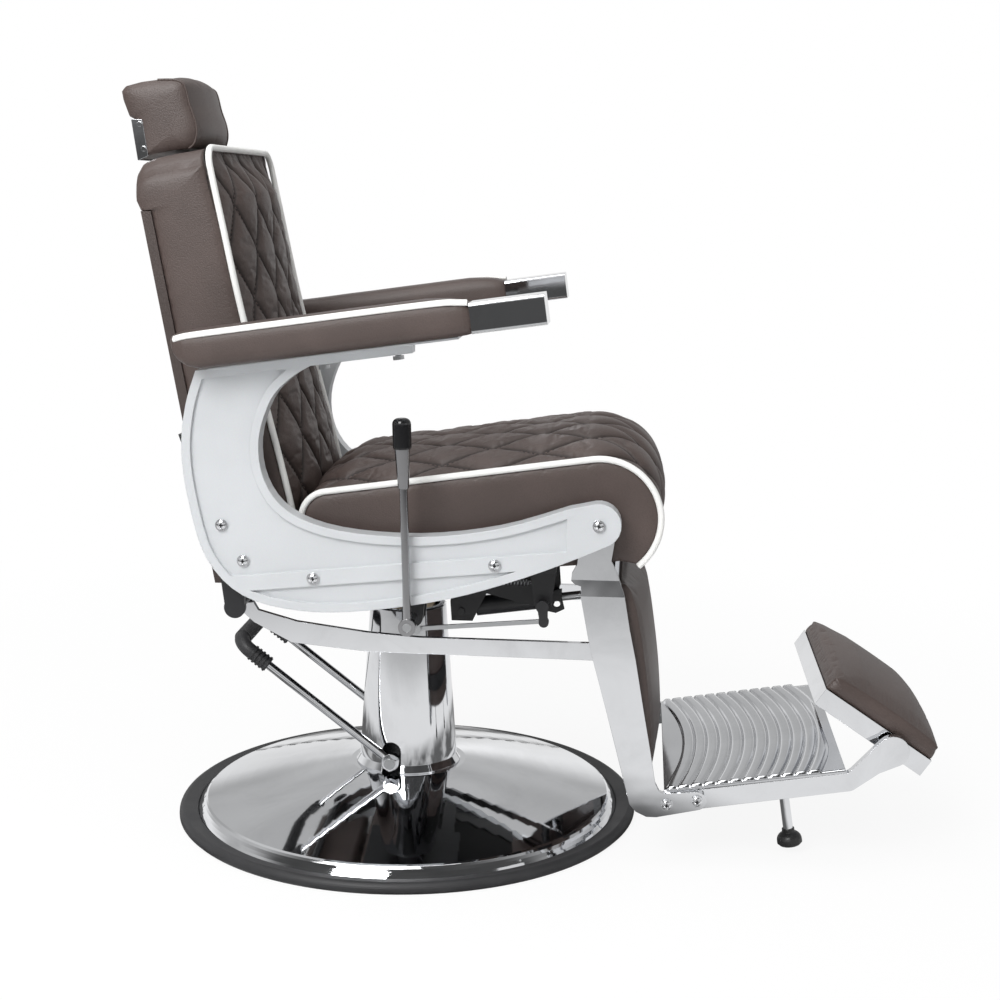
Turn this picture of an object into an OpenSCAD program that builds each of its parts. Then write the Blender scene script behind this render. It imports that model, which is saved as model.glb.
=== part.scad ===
// Hydraulic barber chair: round chromed base, pedal pump, swivelling seat with cast side frames,
// reclining back linked to a swinging footrest, and an adjustable headrest.
// The chair faces -Y. The origin is the middle of the base, on the floor. Units are millimetres.

/* [Base] */
// Outside diameter of the round base
base_d = 700; // [620:1:760]
// Height of the rubber edge ring
ring_h = 16; // [14:1:20]
// Radial width of the rubber edge ring
ring_w = 28; // [22:1:36]
// Thickness of the chromed dish
dish_t = 3; // [2:0.5:5]
// Height of the dish where it meets the column
dish_h = 74; // [62:1:80]

/* [Column and pump] */
// Outside diameter at the foot of the column cover
column_foot_d = 150; // [140:1:170]
// Outside diameter at the top of the column cover
column_top_d = 115; // [108:1:130]
// Height of the top of the column cover
column_h = 322; // [310:1:360]
// Wall of the column cover
column_t = 3; // [2:0.5:4]
// Diameter of the hydraulic ram
ram_d = 56; // [44:1:60]
// How far the ram lifts the seat
ram_travel = 150; // [100:1:170]
// Diameter of the pedal shaft
shaft_d = 16; // [12:1:18]
// Diameter of the bent pedal rod
pedal_rod_d = 13; // [10:0.5:15]
// Distance between the two arms of the pedal
pedal_w = 156; // [152:1:176]
// Length of a pedal arm, from the shaft to the grip bar
pedal_len = 289; // [240:1:320]
// Diameter of the ribbed pedal grip
grip_d = 25; // [20:1:30]

/* [Seat] */
// Width of the seat cushion
seat_w = 444; // [420:1:480]
// Gap between the cushion and each side frame
side_gap = 17; // [17:0.5:22]
// Height of the crown in the middle of the seat
seat_crown = 24; // [10:1:30]
// Depth of the sewn channels
channel_d = 6; // [3:0.5:8]
// Diameter of the piping cord
piping_d = 9; // [6:0.5:10]
// Thickness of the seat board
board_t = 10; // [8:0.5:14]

/* [Side frames] */
// Thickness of a cast side frame at its raised rim
frame_t = 28; // [24:1:34]
// Depth of the recessed panels
recess_d = 5; // [3:0.5:8]
// Width of the raised rim
rim_w = 12; // [8:0.5:14]
// Diameter of the pivot bolts
pivot_d = 12; // [8:0.5:14]
// Diameter of the frame bolts
bolt_d = 8; // [6:0.5:10]
// Diameter of a bolt head
bolt_head_d = 17; // [16:0.5:20]

/* [Armrests] */
// Width of an arm pad
pad_w = 72; // [60:1:80]
// Height of an arm pad
pad_h = 48; // [40:1:54]
// Length of an arm pad
pad_len = 395; // [360:1:410]
// Length of the chromed end cap
cap_len = 98; // [80:1:110]
// Wall of the end cap
cap_t = 2.5; // [1.5:0.5:4]

/* [Backrest] */
// Width of the backrest
back_w = 392; // [360:1:396]
// Thickness of the back board
back_board_t = 14; // [10:0.5:16]
// Height of the crown in the middle of the backrest
back_crown = 22; // [10:1:26]
// How far the backrest reclines, in degrees
recline = 45; // [30:1:45]

/* [Headrest] */
// Width of the headrest
head_w = 184; // [150:1:220]
// Width of the flat headrest post
post_w = 40; // [30:1:50]
// Thickness of the flat headrest post
post_t = 8; // [6:0.5:8]
// How far the headrest rises
head_travel = 80; // [40:1:90]

/* [Footrest] */
// Thickness of the chromed legs and arms
leg_t = 8; // [6:0.5:9]
// Distance between the outer faces of the legs
leg_span = 432; // [420:1:438]
// Number of ribs on the footplate
rib_n = 12; // [8:1:14]
// Height of a rib
rib_h = 5; // [3:0.5:7]
// Width of the flip-over pad
flip_w = 324; // [300:1:330]
// Length of the flip-over pad
flip_len = 181; // [170:1:184]
// Depth of the tray under the flip-over pad
tray_h = 27; // [22:1:29]
// Diameter of the rods of the support feet
foot_rod_d = 14; // [10:1:18]

/* [Recline controls] */
// Height of the recline lever above its shaft
lever_len = 284; // [240:1:300]
// Diameter of the recline lever rod
lever_d = 11; // [8:0.5:13]
// Diameter of the lever's black knob
knob_d = 25; // [18:1:26]
// Diameter of the recline lock's cylinder
lock_d = 28; // [22:1:32]

/* [Hidden] */
$fn = 64;

// Clearances: a running fit, a soft fit between bodies, and the slack at an opened linkage pivot.
run = 0.05;
soft = 0.6;
slack = 4;

// Side view: points are [forward of the column, height]. They are drawn for a column of
// drawn_column_h and ride up and down with the column's top.
drawn_column_h = 322;
lift = column_h - drawn_column_h;
back_pivot = [-219, 487];
front_pivot = [293, 499];
rail_rear = [-93, 417];
rail_front = [154, 442];
rail_tail = [-190, 438];
crossbar_at = [-212, 363];
leg_link = [306, 301];
flip_pivot = [708, 171];
head_pivot = [-333, 1000];
lever_pivot = [38, 357];
lock_rear = [96, 345];
tube_at = [303, 374];
latch_pivot = [216, 372];
crank_arm = [2, -22];
pedal_pivot = [-16, 94];
flange_z = 380;

// Planes across the chair, measured from the middle.
frame_in = seat_w / 2 + side_gap;
frame_out = frame_in + frame_t;
rail_t = 8;
rail_half = 24;
leg_out = leg_span / 2;
leg_in = leg_out - leg_t;
leg_top_out = frame_in - 3;
arm_in = leg_in - 12;
ear_out = frame_in - rail_t - 2;
ear_t = 8;
lock_x = -118;
cheek_gap = 16;
cheek_t = 6;
pad_out = frame_out + 53;
arm_mid = pad_out - pad_w / 2;
arm_rise = 8;
arm_front = [127, 753];
arm_plate_t = 3;

// ---- Helpers ----

// Extrudes a side-view outline from x to x + t.
module side(x, t) translate([x + t, 0, 0]) rotate([90, 0, -90]) linear_extrude(t) children();

// A cylinder across the chair at a side-view point, from x0 to x1.
module across(p, r, x0, x1) translate([x0, -p[0], p[1]]) rotate([0, 90, 0]) cylinder(h = x1 - x0, r = r);

// A box given by its near, rear and low corner in [x, forward, height] and its far one.
module block(a, b) translate([a[0], -b[1], a[2]]) cube([b[0] - a[0], b[1] - a[1], b[2] - a[2]]);

module both() {
    children();
    mirror([1, 0, 0]) children();
}

module raised() translate([0, 0, lift]) children();

// A smooth line through a list of points, with n steps between neighbours.
function bend(a, b, c, d, t) =
    (2 * b + (c - a) * t + (2 * a - 5 * b + 4 * c - d) * t * t + (3 * b - a - 3 * c + d) * t * t * t) / 2;
function smooth(p, n = 6) = let (last = len(p) - 1) [
    for (i = [0:last - 1], k = [0:n - 1])
        bend(p[max(i - 1, 0)], p[i], p[i + 1], p[min(i + 2, last)], k / n),
    p[last]
];
function arc(c, r, a0, a1, n = 12) = [for (i = [0:n]) c + r * [cos(a0 + (a1 - a0) * i / n), sin(a0 + (a1 - a0) * i / n)]];
function along(a, b, t) = a + (b - a) * t;

// Length from the start of a line to each of its points, and the line cut into n equal steps.
function run_length(p, i = 0, s = 0) =
    i == len(p) - 1 ? [s] : concat([s], run_length(p, i + 1, s + norm(p[i + 1] - p[i])));
function place_on(p, len_at, s, i = 0) =
    i >= len(p) - 2 || len_at[i + 1] >= s
        ? along(p[i], p[i + 1], (s - len_at[i]) / (len_at[i + 1] - len_at[i]))
        : place_on(p, len_at, s, i + 1);
function even(p, n) = let (l = run_length(p)) [for (k = [0:n]) place_on(p, l, l[len(p) - 1] * k / n)];

// Left-hand unit normal of a side-view line at its point i.
function normal(p, i) =
    let (d = p[min(i + 1, len(p) - 1)] - p[max(i - 1, 0)])
    [-d[1], d[0]] / norm(d);

// Closed mesh through a stack of rings of equal length, with a middle point at each end.
module skin(rings, near, far) {
    m = len(rings[0]);
    n = len(rings);
    ends = n * m;
    polyhedron(
        points = concat([for (r = rings, p = r) p], [near, far]),
        faces = concat(
            [for (i = [0:n - 2], j = [0:m - 1], f = skin_quad(rings, i, j, m)) f],
            [for (j = [0:m - 1]) [ends, j, (j + 1) % m]],
            [for (j = [0:m - 1]) [ends + 1, (n - 1) * m + (j + 1) % m, (n - 1) * m + j]]
        )
    );
}
// The two triangles of one patch, split along the shorter diagonal so that channels stay crisp.
function skin_quad(rings, i, j, m) =
    let (k = (j + 1) % m, a = i * m + j, b = a + m, c = (i + 1) * m + k, d = i * m + k)
    norm(rings[i][j] - rings[i + 1][k]) <= norm(rings[i + 1][j] - rings[i][k])
        ? [[a, b, c], [a, c, d]]
        : [[a, b, d], [b, c, d]];

// A round tube along a path that stays nearly square to the direction up.
module tube(path, r, up, sides = 6) {
    n = len(path);
    rings = [
        for (i = [0:n - 1])
            let (
                t = path[min(i + 1, n - 1)] - path[max(i - 1, 0)],
                s0 = cross(t, up),
                s = s0 / norm(s0),
                b = cross(s, t / norm(t))
            )
            [for (k = [0:sides - 1]) path[i] + r * (s * cos(360 * k / sides) + b * sin(360 * k / sides))]
    ];
    skin([for (i = [n - 1:-1:0]) rings[i]], path[n - 1], path[0]);
}

// A boxed cushion: its face is a side-view line, its back the points that close the outline.
// It is crowned in the middle, drawn in at the sides, and sewn in diamonds of the given size.
function on_seam(s) = abs(s - round(s)) < 0.13;
function seam(a, b) = on_seam(a + b) || on_seam(a - b) ? 1 : 0;
function fade(t, a, b) = min(1, t / max(a, 0.001), (1 - t) / max(b, 0.001));
module cushion(face, back, width, crown, columns, diamond_w, diamond_l, ends, corner = 0, sewn = true, draw = 12) {
    n = len(face) - 1;
    step = run_length(face)[n] / n;
    half = width / 2;
    inset = 4;
    top = along(face[n][1], face[0][1], 0.9);
    turn = half - inset - corner;
    inner = concat(
        [for (a = corner > 0 ? [90, 60, 30] : []) -turn - corner * sin(a)],
        [for (k = [0:columns]) let (x = -half + inset + (width - 2 * inset) * k / columns)
            if (corner == 0 || abs(x) < turn) x],
        [for (a = corner > 0 ? [30, 60, 90] : []) turn + corner * sin(a)]
    );
    stations = concat([[-half, draw]], [for (x = inner) [x, 0]], [[half, draw]]);
    rings = [
        for (s = stations) let (
            x = s[0],
            rise = crown * (1 - pow(min(1, abs(x) / (half - inset)), 2.4)),
            edge = max(0, abs(x) - (half - inset - corner)),
            drop = corner > 0 ? corner - sqrt(max(0, corner * corner - edge * edge)) : 0
        ) concat(
            [for (j = [0:n]) let (
                f = fade(j / n, ends[0], ends[1]),
                q = sewn && s[1] == 0 && rise > 0.01 ? seam(x / diamond_w, j * step / diamond_l) : 0,
                p = face[j] + normal(face, j) * (f * (rise - q * channel_d) - s[1]),
                low = drop * max(0, 1 - j / n * 5)
            ) [x, -p[0], p[1] - low]],
            [for (p = back) [x, -p[0], p[1] - (p[1] > top ? drop : 0)]]
        )
    ];
    mid = [for (r = [rings[0]]) for (k = [0:2]) [for (p = r) p[k]] * [for (p = r) 1] / len(r)];
    skin(rings, [-half + 3, mid[1], mid[2]], [half - 3, mid[1], mid[2]]);
}

// ---- Base ----

base_r = base_d / 2;
groove_z = ring_h - 6 - dish_t;
groove_w = 10;
plate_z = 12;
plate_gap = 2;
hub_in = 66;
hub_out = 88;
// The dish turns up steeply at its rim, in a shoulder just inside the ring.
shoulder_w = 15;
shoulder_h = 17;
shoulder_turn = 75;
column_foot_r = column_foot_d / 2;
column_top_r = column_top_d / 2;
flange_r = 60;
body_r = 46;
ram_r = ram_d / 2;
cylinder_t = 13;
cylinder_top = column_h - 10;
cam_room = [24, 26];
pump_top = pedal_pivot[1] + cam_room[1] + 10;

module base_ring() color([0.09, 0.09, 0.1]) rotate_extrude($fn = 160) polygon(concat(
    [[base_r - ring_w, 0], [base_r - 4, 0], [base_r, 4]],
    arc([base_r - 9, ring_h - 9], 9, 0, 90, 6),
    [
        [base_r - ring_w + 2, ring_h - 3],
        [base_r - ring_w, ring_h - 4],
        [base_r - ring_w, groove_z + dish_t],
        [base_r - ring_w + groove_w, groove_z + dish_t],
        [base_r - ring_w + groove_w, groove_z],
        [base_r - ring_w, groove_z]
    ]
));

// Height of the dish's outer face, from its shoulder to the hub, a cone that eases off towards the column.
function dish_rise(t) = along(groove_z + dish_t + shoulder_h, dish_h, 1.2 * t - 0.2 * t * t);
module base_dish() color([0.82, 0.83, 0.85]) rotate_extrude($fn = 160) {
    rim = base_r - ring_w;
    outer = concat(
        [[rim + groove_w, groove_z + dish_t]],
        [for (k = [0:5]) [rim - shoulder_w * k / 5,
            groove_z + dish_t + shoulder_h * sin(shoulder_turn * k / 5) / sin(shoulder_turn)]],
        [for (k = [1:10]) [along(rim - shoulder_w, hub_out, k / 10), dish_rise(k / 10)]],
        [[hub_in, dish_h]]
    );
    polygon(concat(outer, [for (k = [len(outer) - 1:-1:0]) outer[k] - [0, dish_t]]));
}

module base_plate() color([0.25, 0.25, 0.27]) difference() {
    rotate_extrude($fn = 128) polygon([
        [22, plate_gap], [base_r - ring_w, plate_gap], [base_r - ring_w, plate_gap + 4],
        [hub_out + 12, plate_z], [hub_out, plate_z + 8], [hub_out, dish_h - dish_t],
        [hub_in, dish_h - dish_t], [hub_in, plate_z], [22, plate_z]
    ]);
    for (a = [45:90:315]) rotate(a) translate([53, 0, 0]) cylinder(h = plate_z + 1, r = 4.2);
}

module base_bolts() color("dimgray") for (a = [45:90:315]) rotate(a) translate([53, 0, 0]) {
    translate([0, 0, plate_gap]) cylinder(h = 22, r = 4);
    translate([0, 0, 24]) cylinder(h = 6, r = 6.5, $fn = 6);
}

// ---- Column and pump ----

plunger_r = 9;
plunger_reach = 22;
plunger_top = pedal_pivot[1] - 7 - 0.3;
shaft_r = shaft_d / 2;
eye_r = shaft_r + 5;

module pump_body() color([0.2, 0.2, 0.22]) difference() {
    union() {
        translate([0, 0, plate_z]) cylinder(h = 12, r = flange_r);
        cylinder(h = pump_top, r = body_r);
    }
    translate([0, 0, -1]) cylinder(h = plate_z + 1, r = flange_r + 1);
    for (a = [45:90:315]) rotate(a) translate([53, 0, 0]) {
        cylinder(h = 30, r = 4.2);
    }
    across(pedal_pivot, shaft_r + run, -body_r - 1, body_r + 1);
    block([-15, -body_r - 1, pedal_pivot[1] - cam_room[0]], [15, pedal_pivot[0] + 16, pedal_pivot[1] + cam_room[1]]);
    translate([0, plunger_reach - pedal_pivot[0], 22])
        cylinder(h = pedal_pivot[1] - cam_room[0] - 21, r = plunger_r + run);
}

module pump_plunger() color("silver") translate([0, plunger_reach - pedal_pivot[0], 34])
    cylinder(h = plunger_top - 34, r = plunger_r);

module pump_cylinder() color([0.3, 0.3, 0.32]) difference() {
    translate([0, 0, pump_top]) cylinder(h = cylinder_top - pump_top, r = ram_r + cylinder_t);
    translate([0, 0, pump_top + 6]) cylinder(h = column_h, r = ram_r + run);
}

module gland_nut() color("goldenrod") translate([0, 0, cylinder_top]) difference() {
    cylinder(h = 8, r = ram_r + cylinder_t + 4, $fn = 6);
    translate([0, 0, -1]) cylinder(h = 10, r = ram_r + run);
}

// The cover tapers in a straight line, flares where it stands on the dish, and is slotted for the pedal.
slot_r = eye_r + 1.5;
slot_rise = 12;
function cover_r(z) = along(column_foot_r, column_top_r, (z - dish_h) / (column_h - dish_h));
module column_cover() color([0.85, 0.86, 0.88]) difference() {
    rotate_extrude($fn = 128) polygon([
        [column_foot_r + 5, dish_h], [column_foot_r + 5, dish_h + 2], [cover_r(dish_h + 12), dish_h + 12],
        [cover_r(column_h - 2), column_h - 2], [column_top_r - 2, column_h],
        [ram_r + cylinder_t + 8, column_h], [ram_r + cylinder_t + 8, column_h - column_t],
        [column_top_r - column_t, column_h - column_t], [cover_r(dish_h) - column_t, dish_h + 4],
        [cover_r(dish_h) - column_t, dish_h]
    ]);
    across([pedal_pivot[0], pedal_pivot[1] + slot_rise], slot_r, -100, 100);
    block([-100, pedal_pivot[0] - slot_r, 0], [100, pedal_pivot[0] + slot_r, pedal_pivot[1] + slot_rise]);
}

module ram() color([0.88, 0.89, 0.9]) {
    translate([0, 0, pump_top + 8]) cylinder(h = column_h + 18 - pump_top - 8, r = ram_r);
    translate([0, 0, column_h + 18]) cylinder(h = 36, r = ram_r - 8);
}

module thrust_bearing() color("darkgray") translate([0, 0, column_h + 18]) difference() {
    cylinder(h = 4, r = ram_r);
    translate([0, 0, -1]) cylinder(h = 6, r = ram_r - 8 + run);
}

// ---- Pedal ----

pedal_x = pedal_w / 2;
rod_r = pedal_rod_d / 2;
grip_r = grip_d / 2;
pedal_bend = 22;
pedal_lift = 38;
eye_w = pedal_rod_d + 1;

module pedal_shaft() color("silver")
    across(pedal_pivot, shaft_r, -pedal_x - eye_w / 2 - 9, pedal_x + eye_w / 2 + 9);

module pedal_cam() color("gray") difference() {
    union() {
        across(pedal_pivot, shaft_r + 5, -10, 10);
        across(pedal_pivot - [plunger_reach, 0], 7, -10, 10);
        block([-10, pedal_pivot[0] - plunger_reach, pedal_pivot[1] - 5], [10, pedal_pivot[0], pedal_pivot[1] + 5]);
    }
    across(pedal_pivot, shaft_r, -11, 11);
}

// The pedal is drawn flat: its arms run along Y from the shaft, and its bar crosses at pedal_len.
module pedal_place() translate([0, -pedal_pivot[0], pedal_pivot[1]]) rotate([pedal_lift, 0, 0]) children();
module pedal_loop(r, from) {
    both() {
        translate([pedal_x, from, 0]) rotate([-90, 0, 0]) cylinder(h = pedal_len - pedal_bend - from, r = r);
        translate([pedal_x - pedal_bend, pedal_len - pedal_bend, 0])
            rotate_extrude(angle = 90) translate([pedal_bend, 0]) circle(r = r);
    }
    translate([-pedal_x + pedal_bend, pedal_len, 0]) rotate([0, 90, 0])
        cylinder(h = pedal_w - 2 * pedal_bend, r = r);
}

module pedal_lever() color([0.85, 0.86, 0.88]) pedal_place() difference() {
    union() {
        pedal_loop(rod_r, shaft_r + 1);
        both() translate([pedal_x - eye_w / 2, 0, 0]) rotate([0, 90, 0]) cylinder(h = eye_w, r = eye_r);
    }
    translate([-pedal_w, 0, 0]) rotate([0, 90, 0]) cylinder(h = 2 * pedal_w, r = shaft_r);
}

module pedal_grip() color([0.1, 0.1, 0.1]) pedal_place() difference() {
    union() {
        pedal_loop(grip_r - 1.5, pedal_len - pedal_bend - 34);
        for (k = [0:16]) translate([along(-pedal_x + pedal_bend, pedal_x - pedal_bend, (k + 0.5) / 17), pedal_len, 0])
            rotate([0, 90, 0]) cylinder(h = 3.4, r = grip_r, center = true);
        both() for (k = [0:4]) translate([pedal_x, pedal_len - pedal_bend - 31 + k * 6.6, 0])
            rotate([90, 0, 0]) cylinder(h = 3.4, r = grip_r, center = true);
    }
    pedal_loop(rod_r, 0);
}

module pedal_nuts() color("silver") both() difference() {
    across(pedal_pivot, shaft_r + 3.5, pedal_x + eye_w / 2, pedal_x + eye_w / 2 + 8, $fn = 6);
    across(pedal_pivot, shaft_r, pedal_x, pedal_x + 30);
}

// ---- Seat frame ----

rail_slope = (rail_front[1] - rail_rear[1]) / (rail_front[0] - rail_rear[0]);
function rail_z(u) = rail_rear[1] + (u - rail_rear[0]) * rail_slope;
ledge_t = 4;
ledge_w = 41;
function board_z(u) = rail_z(u) - rail_half + ledge_t;
// The cushion's base cloth stays just off the board, so that the two flat faces never share a point.
base_off = 0.03;
function cushion_z(u) = board_z(u) + board_t + base_off;
rail_end = 235;
board_from = -85;
board_to = 288;
member_low = 391.5;

module seat_hub() color([0.18, 0.18, 0.2]) raised() difference() {
    union() {
        translate([0, 0, drawn_column_h + 22.3]) cylinder(h = 30, r = ram_r + 8);
        block([-92, -100, flange_z - 8], [92, 110, flange_z]);
        for (a = [45:90:315]) rotate(a) translate([ram_r + 2, -4, flange_z - 26]) cube([44, 8, 18]);
    }
    cylinder(h = 500, r = ram_r - 8 + run);
}

module rail_band(u0, u1, low, high) polygon([
    [u0, rail_z(u0) + low], [u1, rail_z(u1) + low], [u1, rail_z(u1) + high], [u0, rail_z(u0) + high]
]);

// Side rails with a ledge for the seat board, and two cross members arched over the lock.
module seat_subframe() color([0.12, 0.12, 0.13]) raised() {
    both() difference() {
        side(frame_in - rail_t, rail_t) union() {
            polygon([
                [rail_tail[0], rail_tail[1] - rail_half], [rail_rear[0], rail_z(rail_rear[0]) - rail_half],
                [rail_end, rail_z(rail_end) - rail_half], [rail_end, rail_z(rail_end) + 14],
                [rail_rear[0], rail_z(rail_rear[0]) + rail_half], [rail_tail[0], rail_tail[1] + rail_half]
            ]);
            translate(rail_tail) circle(r = rail_half);
        }
        for (p = [rail_rear, rail_front, rail_tail]) across(p, bolt_d / 2, frame_in - 20, frame_in + 1);
    }
    both() side(frame_in - rail_t - ledge_w, ledge_w) rail_band(board_from, rail_end, -rail_half, -rail_half + ledge_t);
    for (u = [-55, 65]) {
        side(-92, 184) polygon([
            [u, flange_z], [u + 30, flange_z], [u + 30, rail_z(u + 30) - rail_half], [u, rail_z(u) - rail_half]
        ]);
        both() side(92, frame_in - rail_t - 92) polygon([
            [u, member_low], [u + 30, member_low], [u + 30, rail_z(u + 30) - rail_half], [u, rail_z(u) - rail_half]
        ]);
    }
}

module seat_board() color("burlywood") raised()
    side(-frame_in + rail_t + 2, 2 * (frame_in - rail_t - 2)) polygon([
        [board_from, board_z(board_from)], [rail_end, board_z(rail_end)],
        [rail_end, board_z(rail_end) + board_t], [board_from, board_z(board_from) + board_t]
    ]);

// ---- Seat cushion ----

seat_arc = 79;
seat_rear = [-114, 470];
seat_slope = 8.15;
seat_steps = 19;
seat_columns = 18;
seat_face = even(concat(
    [seat_rear],
    arc([-79, 490], 35, 180, 90 + seat_slope, 6),
    arc(front_pivot, seat_arc, 90 + seat_slope, -50, 14)
), seat_steps);
seat_back = [[322, 442], [300, cushion_z(300)], [-106, cushion_z(-106)], [-114, cushion_z(-114) + 8]];
seat_diamond = seat_w / 4.5;
diamond_l = 131;

module seat_cushion() color([0.36, 0.3, 0.28]) raised()
    cushion(seat_face, seat_back, seat_w, seat_crown, seat_columns, seat_diamond, diamond_l, [0.16, 0.3]);

piping_r = piping_d / 2;
module seat_piping() color("white") raised() both() {
    x = seat_w / 2 - 4 + piping_r * 0.4;
    tube([for (j = [0:seat_steps]) let (p = seat_face[j] + normal(seat_face, j) * (piping_r - 0.5)) [x, -p[0], p[1]]],
        piping_r, [1, 0, 0], 6);
}

// ---- Side frames ----

flange_drop = 13;
flange_tip = 43;
boss_r = 30;
rib_half = 11;
panel_end = 250;
frame_rear = -249;
pivot_r = pivot_d / 2;
bolt_r = bolt_d / 2;
head_r = bolt_head_d / 2;
arm_screw_at = [20, -80];

function arm_line(u) = arm_front[1] - (arm_front[0] - u) * tan(arm_rise);
function frame_top(u) = arm_line(u) - arm_plate_t / cos(arm_rise);

module frame_outline() polygon(concat(
    smooth([
        [frame_rear, frame_top(frame_rear)], [-264, 650], [-271, 590], [-263, 520], [-240, 441],
        [-190, 390], [-110, 371], [-20, 374], [90, 393], [190, 424], [front_pivot[0] - 18, front_pivot[1] - 41]
    ], 4),
    arc(front_pivot, boss_r, -58, 100, 10),
    smooth([
        [253, 521], [160, 492], [52, 478], [-57, 484], [-125, 508], [-158, 550],
        [-165, 605], [-148, 659], [-121, 689], [-94, frame_top(-94) - flange_drop]
    ], 4),
    [[flange_tip, frame_top(flange_tip) - flange_drop], [flange_tip, frame_top(flange_tip)]]
));

// Two recessed panels, parted by the rib that carries the rail bolts.
module frame_panels() offset(delta = 3) offset(delta = -3) intersection() {
    offset(delta = -rim_w) frame_outline();
    union() {
        polygon([
            [frame_rear - 40, rail_z(frame_rear - 40) + rib_half], [panel_end, rail_z(panel_end) + rib_half],
            [panel_end, 560], [-100, 700], [frame_rear - 40, 700]
        ]);
        polygon([[-230, rail_z(-230) - rib_half], [170, rail_z(170) - rib_half], [170, 350], [-230, 350]]);
    }
}

// Local frame of an armrest: X across, Y rearwards along the pad, Z square to its underside.
module arm_place() translate([0, -arm_front[0], arm_front[1]]) rotate([-arm_rise, 0, 0]) children();
module arm_screw_holes(r, low, high) for (u = arm_screw_at)
    arm_place() translate([(frame_in + frame_out) / 2, (arm_front[0] - u) / cos(arm_rise), low])
        cylinder(h = high - low, r = r);

module side_frame() difference() {
    side(frame_in, frame_t) frame_outline();
    side(frame_out - recess_d, recess_d + 1) frame_panels();
    for (p = [rail_rear, rail_front, rail_tail]) across(p, bolt_r, frame_in - 1, frame_out + 1);
    for (p = [front_pivot, back_pivot]) across(p, pivot_r, frame_in - 1, frame_out + 1);
    arm_screw_holes(bolt_r, -40, 1);
}
module side_frame_left() color([0.83, 0.85, 0.87]) raised() side_frame();
module side_frame_right() color([0.83, 0.85, 0.87]) raised() mirror([1, 0, 0]) side_frame();

// A bolt with a low button head whose underside is at x1; its shank runs in to x0.
module button_bolt(p, r, x0, x1) {
    across(p, r, x0, x1);
    across(p, head_r, x1, x1 + 3);
    across(p, head_r - 2, x1 + 3, x1 + 4.5);
}

module frame_bolts() color("silver") raised() both() {
    for (p = [rail_rear, rail_front]) button_bolt(p, bolt_r, frame_in - rail_t, frame_out);
    button_bolt(rail_tail, bolt_r, frame_in - rail_t, frame_out - recess_d);
    button_bolt(back_pivot, pivot_r, ear_out - ear_t, frame_out - recess_d);
    button_bolt(front_pivot, pivot_r, leg_top_out - leg_t, frame_out);
    across(back_pivot, pivot_r + 6, ear_out + 0.3, frame_in);
    across(front_pivot, pivot_r + 6, leg_top_out + 0.3, frame_in);
}

// ---- Armrests ----

cap_w = pad_w - 8;
cap_h = 40;
cap_low = 2;
pad_rear_r = 34;

module arm_plates() color("dimgray") raised() both() difference() {
    arm_place() translate([frame_in + 2, 20, -arm_plate_t]) cube([pad_w - 12, pad_len - 60, arm_plate_t]);
    arm_screw_holes(bolt_r, -40, 40);
}

module arm_screws() color("silver") raised() both() {
    arm_screw_holes(bolt_r, -arm_plate_t - flange_drop - 3, 0);
    arm_screw_holes(head_r - 1, -arm_plate_t - flange_drop - 7, -arm_plate_t - flange_drop - 2.2);
}

// The pad is a boxed roll; its rear end is rounded up from below.
function pad_ring(y, low, high, w) = [
    for (k = [0:15]) let (a = -22.5 * k, c = cos(a), s = sin(a)) [
        arm_mid + w * sign(c) * pow(abs(c), 0.5), y,
        (high + low) / 2 + (high - low) / 2 * sign(s) * pow(abs(s), 0.5)
    ]
];
module arm_pad() arm_place() {
    turn = [0, 30, 55, 75, 90];
    rings = concat(
        [pad_ring(0, cap_low, cap_low + cap_h, cap_w / 2 - 1), pad_ring(10, 0.5, pad_h - 3, pad_w / 2 - 1)],
        [for (k = [0:5]) pad_ring(along(34, pad_len - pad_rear_r, k / 5), 0, pad_h, pad_w / 2)],
        [for (a = turn) if (a > 0) pad_ring(
            pad_len - pad_rear_r + pad_rear_r * sin(a), pad_rear_r * (1 - cos(a)) * 0.85,
            pad_h - 5 * (1 - cos(a)), pad_w / 2 - 9 * (1 - cos(a)))]
    );
    skin(rings, [arm_mid, 0, pad_h / 2], [arm_mid, pad_len + 1, pad_h * 0.7]);
}
module arm_pad_left() color([0.36, 0.3, 0.28]) raised() arm_pad();
module arm_pad_right() color([0.36, 0.3, 0.28]) raised() mirror([1, 0, 0]) arm_pad();

// The cord lies on the outer top edge of each pad, from its rear end to the cap.
module arm_piping() color("white") raised() both() arm_place() {
    edge = [pad_w / 2 * 0.85 + 3.2, pad_h / 2 + pad_h / 2 * 0.85 + 4.1];
    tube(concat(
        [[arm_mid + cap_w / 2 - 1, 3, cap_low + cap_h + 4], [arm_mid + edge[0] - 2, 16, edge[1] - 3]],
        [for (k = [0:5]) [arm_mid + edge[0], along(34, pad_len - 40, k / 5), edge[1]]],
        [[arm_mid + edge[0] - 0.6, pad_len - 20, edge[1] - 0.4], [arm_mid + edge[0] - 3, pad_len - 6, edge[1] - 1]]
    ), piping_r, [0, 0, 1], 8);
}

module rounded_box(w, low, high, r) polygon(concat(
    arc([w / 2 - r, high - r], r, 0, 90, 4), arc([-w / 2 + r, high - r], r, 90, 180, 4),
    arc([-w / 2 + r, low + r], r, 180, 270, 4), arc([w / 2 - r, low + r], r, 270, 360, 4)
));
module arm_cap() arm_place() translate([arm_mid, 0, 0]) rotate([90, 0, 0]) difference() {
    linear_extrude(cap_len) rounded_box(cap_w, cap_low, cap_low + cap_h, 4);
    translate([0, 0, -cap_t]) linear_extrude(cap_len)
        rounded_box(cap_w - 2 * cap_t, cap_low + cap_t, cap_low + cap_h - cap_t, 2);
}
module arm_cap_left() color([0.86, 0.87, 0.89]) raised() arm_cap();
module arm_cap_right() color([0.86, 0.87, 0.89]) raised() mirror([1, 0, 0]) arm_cap();

// ---- Recline lever and latch ----

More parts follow.
